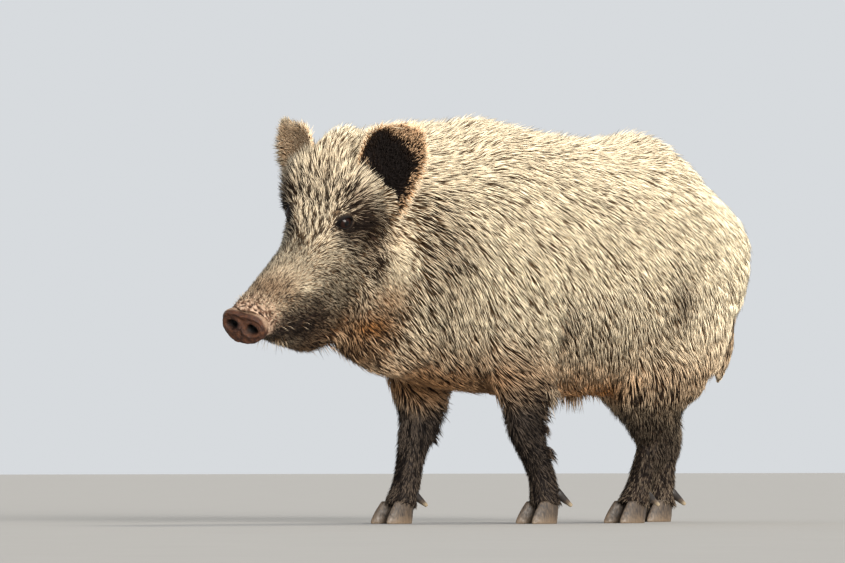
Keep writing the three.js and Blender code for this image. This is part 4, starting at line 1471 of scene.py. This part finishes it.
def at_roots(values, pick, shares):
    """What the skin's vertices hold, read between them at the roots."""
    v = values[tris[pick]]
    return (v * shares[:, :, None]).sum(1) if v.ndim == 3 else (v * shares).sum(1)


def settle(q):
    """The nearest place on the skin to each point, with the normal and the lie of the hair."""
    place, which = np.empty_like(q), np.empty(len(q), int)
    find = body_tree.find_nearest
    for k, p in enumerate(q.tolist()):
        hit = find(p)
        place[k], which[k] = hit[0], hit[2]
    return place, tri_normal[which], tri_flow[which]


def turned(way, about, angle):
    """Directions turned about the normals they stand square to."""
    c, s = np.cos(angle)[:, None], np.sin(angle)[:, None]
    return way * c + np.cross(about, way) * s


def ranked(values):
    """Each value's place in the order from 0 to 1, so that any share can be cut off the bottom."""
    order = np.empty(len(values))
    order[np.argsort(values)] = np.linspace(0, 1, len(values))
    return order


def streaks(pick, shares, size, reach, seed, own=0.35):
    """A shade for each tuft: a random field drawn out along the hair, mixed with the tuft's own."""
    root = at_roots(body_points, pick, shares)
    way = unit(at_roots(flow, pick, shares))
    drawn = sum(ripple(root + way * s, size, seed) for s in np.arange(-reach, reach, size * 0.5))
    own_shade = np.random.default_rng(seed).random(len(root))
    return ranked((1 - own) * ranked(drawn) + own * own_shade)


print("skin under the coat:", round(float(tri_area.sum()), 2), "square metres")

# %% [markdown]
# ## The shape of a tuft
# A long tuft is a closed sliver: a ring of 3 corners in the skin, a narrower one half way, and a
# point. A short one is only a three-sided spike. Its UV patch is tiny and lies where its root is on
# an unwrap of the body, so a picture baked from the coat keeps the markings in their places.

# %% One tuft, many times
PRISM = np.array([[0, 1, 4], [0, 4, 3], [1, 2, 5], [1, 5, 4], [2, 0, 3], [2, 3, 5],
                  [3, 4, 6], [4, 5, 6], [5, 3, 6], [0, 2, 1]])
PRISM_UV = np.array([[[0, 0], [1, 0], [1, 1]], [[0, 0], [1, 1], [0, 1]]] * 3
                    + [[[0, 1], [1, 1], [.5, 2]]] * 3 + [[[0, 0], [1, 0], [.5, .2]]], float)
PRISM_UV[2:4, :, 0] += 1
PRISM_UV[4:6, :, 0] += 2
PRISM_UV[7, :, 0] += 1
PRISM_UV[8, :, 0] += 2
PRISM_UV = PRISM_UV / (3, 2)
SPIKE = np.array([[0, 1, 3], [1, 2, 3], [2, 0, 3], [0, 2, 1]])
SPIKE_UV = np.array([[[0, 0], [1, 0], [.5, 2]], [[1, 0], [2, 0], [1.5, 2]],
                     [[2, 0], [3, 0], [2.5, 2]], [[0, 0], [1, 0], [.5, .2]]], float) / (3, 2)
PATCH = 0.003


SQUASH, WAIST = 0.6, 0.72
made = []


def tuft_piece(name, path, ups, widths, marks, shade, unwrap, along=(0.0, 0.5, 1.0)):
    """One joined mesh of closed tufts. path is (n, 2 or 3, 3): root, perhaps a middle, and tip."""
    count, stops = path.shape[:2]
    corners = np.radians([90, 210, 330])
    rings = []
    for k in range(stops - 1):
        way = unit(path[:, k + 1] - path[:, max(k - 1, 0)])
        side = unit(np.cross(way, ups))
        up = np.cross(side, way)
        w = widths * (1.0 if k == 0 else WAIST) / 2
        across = np.cos(corners)[None, :] * w[:, None]
        thick = np.sin(corners)[None, :] * w[:, None] * SQUASH
        rings.append(path[:, k, None] + side[:, None] * across[..., None]
                     + up[:, None] * thick[..., None])
    verts = np.concatenate([*rings, path[:, -1:]], axis=1)
    per = verts.shape[1]
    shape, uv_shape = (PRISM, PRISM_UV) if stops == 3 else (SPIKE, SPIKE_UV)
    faces = (shape[None] + (np.arange(count) * per)[:, None, None]).reshape(-1, 3)
    obj = mesh_object(name, verts.reshape(-1, 3), faces)
    low, high = unwrap.min(0), unwrap.max(0)
    start = (unwrap - low) / np.maximum(high - low, 1e-6) * (1 - PATCH)
    uv = (start[:, None, None] + uv_shape[None] * PATCH).reshape(-1, 2)
    layer = obj.data.uv_layers.new(name="OFBake")
    layer.data.foreach_set("uv", uv.astype(np.float32).ravel())
    stops_along = np.repeat(along[:stops - 1] if stops == 3 else along[:1], 3).tolist() + [along[-1]]
    set_float(obj, "along", np.tile(stops_along, count))
    set_float(obj, "shade", np.repeat(shade, per))
    for k, label in enumerate(MARKS):
        set_float(obj, label, np.repeat(marks[:, k], per))
    obj.data.polygons.foreach_set("use_smooth", np.ones(len(obj.data.polygons), bool))
    obj.data.materials.append(coat_mat)
    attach(obj, "root")
    made.append(len(faces))


def around_body(p):
    """Two numbers that tell where on the unwrapped body a place is."""
    return np.c_[p[:, 0], np.arctan2(np.abs(p[:, 1]), p[:, 2] - 0.44)]


def around_head(p):
    h = to_head(p)
    return np.c_[h[:, 0], np.arctan2(np.abs(h[:, 1]), h[:, 2] + 0.05)]


# %% [markdown]
# ## The long coat of neck, trunk and tail
# These tufts are about 45 mm long and 2 to 3 mm wide. Each starts inside the skin, rises, and is
# carried along the lie of the coat on the surface, so it hugs the body. Slow random fields turn
# whole locks together, and each tuft adds its own small turn, so the coat clumps as bristles do.

# %% Growing a tuft
ROOT_DEPTH = 0.0015


def long_lengths(p, weights):
    """How long the hair of the long coat is at each place, in metres."""
    z = p[:, 2]
    trunk = np.interp(z, [0.22, 0.32, 0.5, 0.7], [0.040, 0.042, 0.045, 0.042])
    neck = np.full(len(p), 0.044)
    h = to_head(p)
    head = np.interp(h[:, 0], [-0.44, -0.36, -0.30, -0.24], [0.034, 0.024, 0.017, 0.014])
    tail = np.interp(z, [0.26, 0.32, 0.5], [0.055, 0.040, 0.026])
    leg = np.interp(z, [0.10, 0.18, 0.27], [0.014, 0.018, 0.034])
    return table([trunk, neck, head, tail, leg], weights)


def grow(pick, shares, length, height, rng, follow=True, mess=0.10, lock=0.20):
    """Paths of tufts: the root a little under the skin, then along the lie of the coat."""
    root = at_roots(body_points, pick, shares)
    n = unit(at_roots(body_normals, pick, shares))
    way = laid_flat(at_roots(flow, pick, shares), n)
    turn = (lock * ripple(root, 0.034, 31) + 0.6 * lock * ripple(root, 0.013, 32)
            + mess * rng.normal(size=len(root)))
    way = turned(way, n, turn)
    low = root - n * ROOT_DEPTH
    if not follow:
        return np.stack([low, root + way * length[:, None] + n * height[:, None]], 1), n
    place, n1, way1 = settle(root + way * (length * 0.5)[:, None])
    way1 = unit(way1 + 1.2 * laid_flat(way, n1))
    middle = place + n1 * (height * 0.78)[:, None]
    place, n2, _ = settle(place + way1 * (length * 0.5)[:, None])
    return np.stack([low, middle, place + n2 * height[:, None]], 1), n


# %% [markdown]
# ## Lengths, lifts and strays
# More than a fifth of the tufts are short, low, dark underhairs that fill the gaps. Dark hairs lie
# a little lower than pale ones. Some tufts stray: their tips stand off the coat, most of all along
# the crest of the back, where a boar's bristles are stiffest.

# %% Long coat
LONG_PER_M2 = 78000
UNDER_SHARE, UNDER_LENGTH, UNDER_HEIGHT = 0.22, 0.7, 0.38
STRAY_SHARE, STRAY_RISE = 0.12, 0.0045
CREST_SHARE, CREST_RISE = 0.35, 0.0085
rng = np.random.default_rng(7)
h = to_head(body_points)
long_share = smooth(0.25, 0.6, weights[:, 0] + weights[:, 1] + weights[:, 3]
                    + weights[:, 2] * smooth(-0.345, -0.385, h[:, 0])
                    + weights[:, 4] * smooth(0.20, 0.25, body_points[:, 2]))
pick, shares = scatter(long_share * LONG_PER_M2, rng)
root = at_roots(body_points, pick, shares)
root_weights = at_roots(weights, pick, shares)
depth = at_roots(lift, pick, shares)
marks = markings(root, root_weights)
shade = streaks(pick, shares, 0.0040, 0.028, 51, own=0.50)
under = rng.random(len(root)) < UNDER_SHARE
length = long_lengths(root, root_weights) * rng.uniform(0.75, 1.25, len(root))
length *= np.where(under, UNDER_LENGTH, 1.0)
height = depth * np.where(under, UNDER_HEIGHT, 0.62 + 0.35 * rng.random(len(root)))
height *= 1 + 0.25 * ripple(root, 0.028, 33)
height *= np.where(shade < marks[:, 2], 0.80, 1.0)
crest = smooth(0.62, 0.69, root[:, 2])
is_stray = rng.random(len(root)) < STRAY_SHARE + CREST_SHARE * crest
stray = np.where(is_stray, rng.random(len(root)), 0)
rise = stray * (STRAY_RISE + CREST_RISE * crest) * ~under
shade = np.where(under, shade * 0.6, shade)
width = rng.uniform(0.0019, 0.0030, len(root))
path, ups = grow(pick, shares, length, height, rng)
path[:, 1] += ups * (rise * 0.25)[:, None]
path[:, 2] += ups * rise[:, None]
path[:, :, 2] = np.maximum(path[:, :, 2], 0.004)
print("long tufts:", len(root))

# %% [markdown]
# ## Pieces of the long coat
# The coat is cut into pieces by side and by place along the body, which keeps each mesh light
# enough to handle and gives each a plain name.

# %% Pieces of the long coat
BANDS = ((-9, -0.42, "rump"), (-0.42, -0.24, "loin"), (-0.24, -0.06, "flank"),
         (-0.06, 0.10, "shoulder"), (0.10, 9, "neck"))
for low, high, word in BANDS:
    for side, side_word in ((1, "left"), (-1, "right")):
        mine = (root[:, 0] > low) & (root[:, 0] <= high) & ((root[:, 1] >= 0) == (side > 0))
        tuft_piece(f"coat_{word}_{side_word}", path[mine], ups[mine], width[mine], marks[mine],
                   shade[mine], around_body(root[mine]))
print("coat:", sum(made), "triangles in", len(made), "pieces")

# %% [markdown]
# ## Roots of the short coat
# On face and legs the tufts are small spikes, closer together and lying flatter. Round the eyes and
# over the snout's wrinkles the skin is left bare.

# %% Roots of the short coat
LEG_PER_M2 = 120000
rng = np.random.default_rng(8)
eye_clear = np.ones(len(h))
for eye in EYES.values():
    a, u, out, far = eye_plane(h, eye)
    near = np.minimum(smooth(1.20, 1.36, opening(a, u)), smooth(1.2, 1.9, tear_line(a - 0.002, u)))
    eye_clear = np.where((out > 0) & (far < 0.034), np.minimum(eye_clear, near), eye_clear)
short_share = (1 - long_share) * eye_clear * (1 - smooth(0.25, 0.8, bare))
head_part = smooth(0.3, 0.7, weights[:, 2])
short_density = np.where(head_part > 0.5, np.interp(h[:, 0], [-0.36, -0.25, -0.12, -0.05],
                                                    [170000, 190000, 200000, 240000]), LEG_PER_M2)
pick, shares = scatter(short_share * short_density, rng)
root = at_roots(body_points, pick, shares)
root_weights = at_roots(weights, pick, shares)
depth = at_roots(lift, pick, shares)
hr = to_head(root)
is_head = root_weights[:, 2] > 0.5
marks = markings(root, root_weights)
shade = streaks(pick, shares, 0.0040, 0.010, 52, own=0.36)
print("short tufts:", len(root))

# %% [markdown]
# ## Lengths of the short coat
# The hair is 7 mm long behind the snout and 20 mm on the cheeks. It stands higher and longer on the
# brow and under the chin, and is cut short near the eyes, so that it leaves them free.

# %% Short coat
OUTER_BROW = ((-0.335, 0.080, 0.045), (0.030, 0.030, 0.030))
length = np.where(is_head, np.interp(hr[:, 0], [-0.36, -0.28, -0.20, -0.10, -0.04],
                                     [0.020, 0.0155, 0.0135, 0.0115, 0.007]),
                  np.interp(root[:, 2], [0.03, 0.10, 0.18, 0.25], [0.011, 0.014, 0.018, 0.026]))
length *= rng.uniform(0.7, 1.3, len(root))
height = np.maximum(depth, 0.0022) * (0.35 + 0.95 * rng.random(len(root)))
brow = is_head * smooth(0.045, 0.080, hr[:, 2]) * smooth(-0.20, -0.26, hr[:, 0])
height *= 1 + 1.3 * brow
length *= 1 + 0.15 * brow
downward = -at_roots(body_normals, pick, shares)[:, 2]
chin = is_head * smooth(0.35, 0.85, downward) * smooth(-0.05, -0.09, hr[:, 0])
height += 0.004 * chin * rng.random(len(root))
length *= 1 + 0.5 * chin
outer_brow = is_head * blob(one_side(hr), *OUTER_BROW)
height += 0.012 * outer_brow * rng.random(len(root))
length *= 1 + 0.5 * outer_brow
for eye in EYES.values():
    a, u, out, far = eye_plane(hr, eye)
    length *= np.where((out > 0) & (far < 0.04), np.interp(opening(a, u), [1.2, 3.0], [0.28, 1]), 1)
width = np.where(is_head, np.interp(hr[:, 0], [-0.36, -0.20, -0.05], [0.0025, 0.0021, 0.0015]),
                 0.0022) * rng.uniform(0.8, 1.2, len(root))
path, ups = grow(pick, shares, length, height, rng, follow=False, mess=0.16, lock=0.25)
path[:, :, 2] = np.maximum(path[:, :, 2], 0.003)
print("longest short tuft:", round(float(length.max()) * 1000), "mm")

# %% [markdown]
# ## Pieces of the short coat
# One piece for each side of the face and one for each leg. A leg is unwrapped round its own middle,
# which the solid's box gives.

# %% Pieces of the short coat
groups = {"coat_face_left": is_head & (hr[:, 1] >= 0), "coat_face_right": is_head & (hr[:, 1] < 0)}
for name in ("foreleg", "hindleg"):
    for side, side_word in ((1, "left"), (-1, "right")):
        ends = (root[:, 0] > -0.17) if name == "foreleg" else (root[:, 0] <= -0.17)
        groups[f"coat_{name}_{side_word}"] = ~is_head & ends & ((root[:, 1] >= 0) == (side > 0))
for name, mine in groups.items():
    if "face" in name:
        places = around_head(root[mine])
    else:
        low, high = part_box(name[5:])
        axis = (np.array(low) + np.array(high)) / 2
        places = np.c_[root[mine, 2], np.arctan2(root[mine, 1] - axis[1], root[mine, 0] - axis[0])]
    tuft_piece(name, path[mine], ups[mine], width[mine], marks[mine], shade[mine], places,
               along=(0.18, 1.0))
print("coat:", sum(made), "triangles in", len(made), "pieces")


# %% [markdown]
# ## Places on the ear
# The hairs of the ear grow from the leaf itself, so they follow its cup. At each place three
# directions are worked out from neighbouring places: to the tip, to the outer edge and away from
# the leaf's middle.

# %% Ear places
def ear_frame(ear, t, u, out):
    """Place on the leaf with the ways to its tip, to its outer edge and away from its middle."""
    p = ear_point(ear, t, u, out)
    up = unit(ear_point(ear, t + 0.02, u, out) - ear_point(ear, t - 0.02, u, out))
    side = unit(ear_point(ear, t, u + 0.02, out) - ear_point(ear, t, u - 0.02, out))
    away = unit(np.cross(up, side))
    flip = np.sign(((p - ear_point(ear, t, u, 0.0)) * away).sum(1, keepdims=True))
    return p, up, side, away * flip


def ear_tufts(t, u, out, p, way, away, length, width, mark, shade):
    """All that tuft_piece needs to know of some of an ear's hairs."""
    middle = p + way * (length * 0.5)[:, None]
    tip = p + unit(way + away * -0.12) * length[:, None]
    path = np.stack([p - away * 0.001, middle, tip], 1)
    return path, away, width, np.clip(mark, 0, 1), shade, np.c_[t + (out < 0) * 1.1, u]


print("left ear's tip at", ear_point(EARS["left"], 1.0, 0.0, 0.0).round(3))

# %% [markdown]
# ## Hair of the ears
# The back of the ear has short hair that lies towards the tip and leans out at the sides. The
# hollow is painted dark as shade, paler towards its edges and its front, and painted pale up its top,
# on the right ear as light shining through it from behind. Longer hair points outward all along the
# rim, part white and part reddish, with the longest at the rim's foot; on the right ear painted shade
# darkens the lower rim.

# %% Ear hair
BACK_HAIRS, HOLLOW_HAIRS, RIM_HAIRS = 2600, 2800, 2600
HOLLOW_SPECKLES, RIM_WHITES = 0.55, 0.45


def ear_back(ear, rng):
    """Short hair on the back of the ear."""
    n = BACK_HAIRS
    t, u = rng.uniform(0.10, 0.99, n), rng.uniform(-1, 1, n)
    p, up, side, away = ear_frame(ear, t, u, 1.0)
    way = unit(up + side * (u ** 3 * 0.9)[:, None] + away * rng.uniform(0.10, 0.35, n)[:, None]
               + rng.normal(0, 0.12, (n, 3)))
    mark = np.c_[0.45 + 0.3 * t, np.full(n, 0.25), 0.35 - 0.1 * t, np.full(n, 0.1)]
    return ear_tufts(t, u, np.ones(n), p, way, away, rng.uniform(0.010, 0.018, n),
                     rng.uniform(0.0014, 0.0022, n), mark, rng.random(n))


def ear_hollow(ear, rng, pale_and_backlit_from, rust):
    """Hair in the ear's hollow, painted dark inside as shade and paler at its edges."""
    n = HOLLOW_HAIRS
    t, u = rng.uniform(0.10, 0.99, n), rng.uniform(-1, 1, n)
    p, up, side, away = ear_frame(ear, t, u, -1.0)
    edge = np.maximum(smooth(0.55, 0.85, np.abs(u)) * (0.4 + 0.6 * (u * ear["side"] > 0)),
                      smooth(0.70, 0.86, t + 0.06 * u * ear["side"]))
    way = unit(up * 0.9 + side * (np.sign(u) * np.abs(u) ** 2 * 1.1)[:, None]
               + away * rng.uniform(0.15, 0.55, n)[:, None] + rng.normal(0, 0.16, (n, 3)))
    # pale at the edges, and painted pale up the top of the hollow as light shining through the ear
    # from behind
    pale_and_backlit = np.maximum(edge * 0.9, smooth(pale_and_backlit_from - 0.12, pale_and_backlit_from + 0.12,
                                          t + 0.06 * rng.normal(size=n)))
    front = smooth(0.1, 0.7, -u * ear["side"]) * smooth(0.75, 0.35, t)
    pale_and_backlit = np.maximum(pale_and_backlit, front * (rng.random(n) < HOLLOW_SPECKLES))
    mark = np.c_[0.05 + (0.95 - 0.30 * rust) * pale_and_backlit, 0.15 + (0.15 + 0.35 * rust) * pale_and_backlit,
                 1.0 - (0.92 - 0.22 * rust) * pale_and_backlit, 0.8 - 0.8 * pale_and_backlit]
    return ear_tufts(t, u, -np.ones(n), p, way, away, rng.uniform(0.008, 0.014, n) * (1 + 0.3 * edge),
                     rng.uniform(0.0013, 0.0020, n), mark,
                     rng.uniform(0.5 - 0.3 * rust, 1.0, n) * pale_and_backlit
                     + 0.3 * rng.random(n) * (1 - pale_and_backlit))


def ear_rim(ear, rng, rust):
    """Longer hair that points outward along the rim."""
    n = RIM_HAIRS
    s = rng.uniform(0, 1, n)
    t = np.where(s < 0.4, s / 0.4, np.where(s < 0.8, (s - 0.4) / 0.4, 1.0)) * 0.86 + 0.12
    u = np.where(s < 0.4, -1.0, np.where(s < 0.8, 1.0, rng.uniform(-1, 1, n)))
    out = rng.uniform(-0.9, 0.9, n)
    p, up, side, _ = ear_frame(ear, t, u, out)
    top = smooth(0.74, 0.95, t)[:, None]
    way = unit(side * u[:, None] * (1.2 - 0.7 * top) + up * (0.55 + 0.8 * top)
               + rng.normal(0, 0.20, (n, 3)))
    foot = smooth(0.45, 0.15, t) * (u * ear["side"] > 0)
    white = rng.random(n) < RIM_WHITES
    # painted shade on the lower rim of the less rusty right ear
    low = smooth(0.5, 0.3, t) * (1 - rust)
    mark = np.c_[0.30 + 0.45 * foot + 0.60 * white - 0.3 * low,
                 (0.70 - 0.40 * foot - 0.45 * white) * (0.3 + 0.7 * rust),
                 0.30 - 0.2 * foot - 0.2 * white + 0.6 * low, 0.6 * low]
    return ear_tufts(t, u, out, p, way, unit(np.cross(way, up) + 1e-4),
                     rng.uniform(0.010, 0.020, n) * (1 + 0.6 * foot + 0.30 * white),
                     rng.uniform(0.0014, 0.0022, n), mark, rng.random(n))


def ear_coat(word, pale_and_backlit_from, rust):
    """Hair all over one ear: the second argument is how far up its hollow is painted pale, on the
    right ear as light shining through it from behind.
    """
    ear = EARS[word]
    rng = np.random.default_rng(20 + ear["side"])
    groups = (ear_back(ear, rng), ear_hollow(ear, rng, pale_and_backlit_from, rust), ear_rim(ear, rng, rust))
    path, ups, width, mark, shade, places = (np.concatenate(kind) for kind in zip(*groups))
    tuft_piece("coat_ear_" + word, path, ups, width, mark, shade, places)


# the right ear is painted pale lower down its hollow and dark on its lower rim: painted light through
# it from behind, and painted shade
ear_coat("left", 0.97, 1.0)
ear_coat("right", 0.36, 0.45)
print("coat:", sum(made), "triangles in", len(made), "pieces")

# %% [markdown]
# ## Brush, throat and elbow hair
# A few places carry longer hair that hangs clear of the body: the brush under the belly, the
# throat, and the backs of the elbows and forelegs. Each row gives a place, how far its roots are
# spread round it, the way the hair points, its length, width and marks, and how many there are.

# %% Long hair that hangs clear
BRUSH_WIDTH, ELBOW_WIDTH, WHISKER_WIDTH = 0.0026, 0.0024, 0.0009


def strands(name, rows, seed, mapping):
    """Rows of place, spread, way, length, width, marks and count, in the room's frame."""
    rng = np.random.default_rng(seed)
    paths, ups, widths, marks = [], [], [], []
    for place, spread_out, way, length, width, mark, count in rows:
        p = np.array(place) + np.array(spread_out) * rng.normal(size=(count, 3)) * 0.6
        q, n, _ = settle(p)
        d = unit(np.array(way) + 0.20 * rng.normal(size=(count, 3)))
        reach = (length * rng.uniform(0.55, 1.15, count))[:, None]
        middle = q + d * reach * 0.5 + n * 0.002
        paths.append(np.stack([q - n * 0.002, middle, q + d * reach - (0, 0, 0.12) * reach], 1))
        ups.append(n)
        widths.append(width * rng.uniform(0.8, 1.2, count))
        marks.append(np.tile(np.array(mark, float), (count, 1)))
    paths, ups = np.concatenate(paths), np.concatenate(ups)
    tuft_piece(name, paths, ups, np.concatenate(widths), np.concatenate(marks),
               rng.random(len(paths)), mapping(paths[:, 0]))


brush = [((-0.230, 0.0, 0.238), (0.014, 0.012, 0.004), (-0.12, 0.0, -1.0), 0.044, BRUSH_WIDTH,
          (0.50, 0.50, 0.45, 0.0), 110),
         ((-0.225, 0.0, 0.238), (0.050, 0.030, 0.004), (-0.40, 0.0, -0.90), 0.030, BRUSH_WIDTH,
          (0.50, 0.55, 0.35, 0.0), 260)]
for z, x in ((0.200, -0.048), (0.172, -0.066), (0.130, -0.088)):
    for side in (1, -1):
        place = (x, 0.108, z) if side > 0 else (x + 0.075, -0.108, z)
        brush.append((place, (0.008, 0.010, 0.008), (-0.85, side * 0.1, -0.55), 0.024, BRUSH_WIDTH,
                      (0.20, 0.05, 0.60, 0.80), 70))
for side in (1, -1):
    brush.append(((-0.066, side * 0.124, 0.240), (0.020, 0.010, 0.020), (-0.50, side * 0.15, -0.85),
                  0.036, ELBOW_WIDTH, (0.50, 0.10, 0.50, 0.20), 170))
for side in (1, -1):
    brush.append(((0.330, side * 0.030, 0.330), (0.036, 0.030, 0.012), (-0.75, side * 0.10, -0.62),
                  0.036, ELBOW_WIDTH, (0.50, 0.50, 0.35, 0.0), 240))
strands("coat_brush", brush, 61, around_body)
print("places with hanging hair:", len(brush))

# %% [markdown]
# ## Whiskers
# Thin, pale feeler hairs stand off the lips, the chin and the top of the muzzle. Their places and
# ways are told on the head's own axes, and both sides get them.

# %% Whiskers
whiskers = []
for side in (1, -1):
    for x, y, z, way, length, count in (
            (-0.070, 0.040, -0.030, (-0.5, 0.50, -0.65), 0.024, 5),
            (-0.120, 0.045, -0.060, (-0.8, 0.35, -0.50), 0.024, 5),
            (-0.080, 0.018, -0.075, (0.1, 0.25, -0.90), 0.026, 16),
            (-0.045, 0.018, 0.034, (0.3, 0.25, 0.85), 0.020, 9)):
        place = from_head(np.array((x, side * y, z)))
        turn = HEAD_WAYS @ (np.array(way) * (1, side, 1))
        whiskers.append((place, (0.018, 0.008, 0.010), turn, length, WHISKER_WIDTH,
                         (0.6, 0.1, 0.3, 0.0), count))
strands("coat_whiskers", whiskers, 62, around_head)
print("whiskers:", sum(row[-1] for row in whiskers))

# %% [markdown]
# ## Lashes
# Short black lashes stand on the edge of each upper lid and fan out towards its corners. They
# follow the same almond as the lid's own edge.

# %% Lashes
LASHES, LASH_WIDTH = 30, 0.0009
rng = np.random.default_rng(63)
paths, ups = [], []
for eye in EYES.values():
    angle = np.radians(np.linspace(22, 158, LASHES)) + rng.normal(0, 0.03, LASHES)
    a = LID_LONG * np.cos(angle)
    u = LID_UP * np.sin(angle) ** LID_POWER
    edge = np.sqrt(EYE_R ** 2 - a * a - u * u) + 0.0014
    q = (eye["centre"] + edge[:, None] * eye["gaze"] + a[:, None] * eye["ahead"]
         + (u + 0.0006)[:, None] * eye["upward"])
    d = unit(eye["gaze"] * 0.9 + eye["upward"] * 0.15 + a[:, None] * 30 * eye["ahead"]
             + rng.normal(0, 0.12, (LASHES, 3)))
    reach = rng.uniform(0.006, 0.010, (LASHES, 1))
    paths.append(from_head(np.stack([q, q + d * reach * 0.5 - eye["upward"] * 0.0006,
                                     q + d * reach], 1)))
    ups.append(np.tile(HEAD_WAYS @ eye["upward"], (LASHES, 1)))
paths, ups = np.concatenate(paths), np.concatenate(ups)
tuft_piece("coat_lashes", paths, ups, np.full(len(paths), LASH_WIDTH),
           np.tile([0.0, 0.0, 1.0, 1.0], (len(paths), 1)), rng.random(len(paths)) * 0.5,
           around_head(paths[:, 0]))
print("coat:", sum(made), "triangles in", len(made), "pieces")
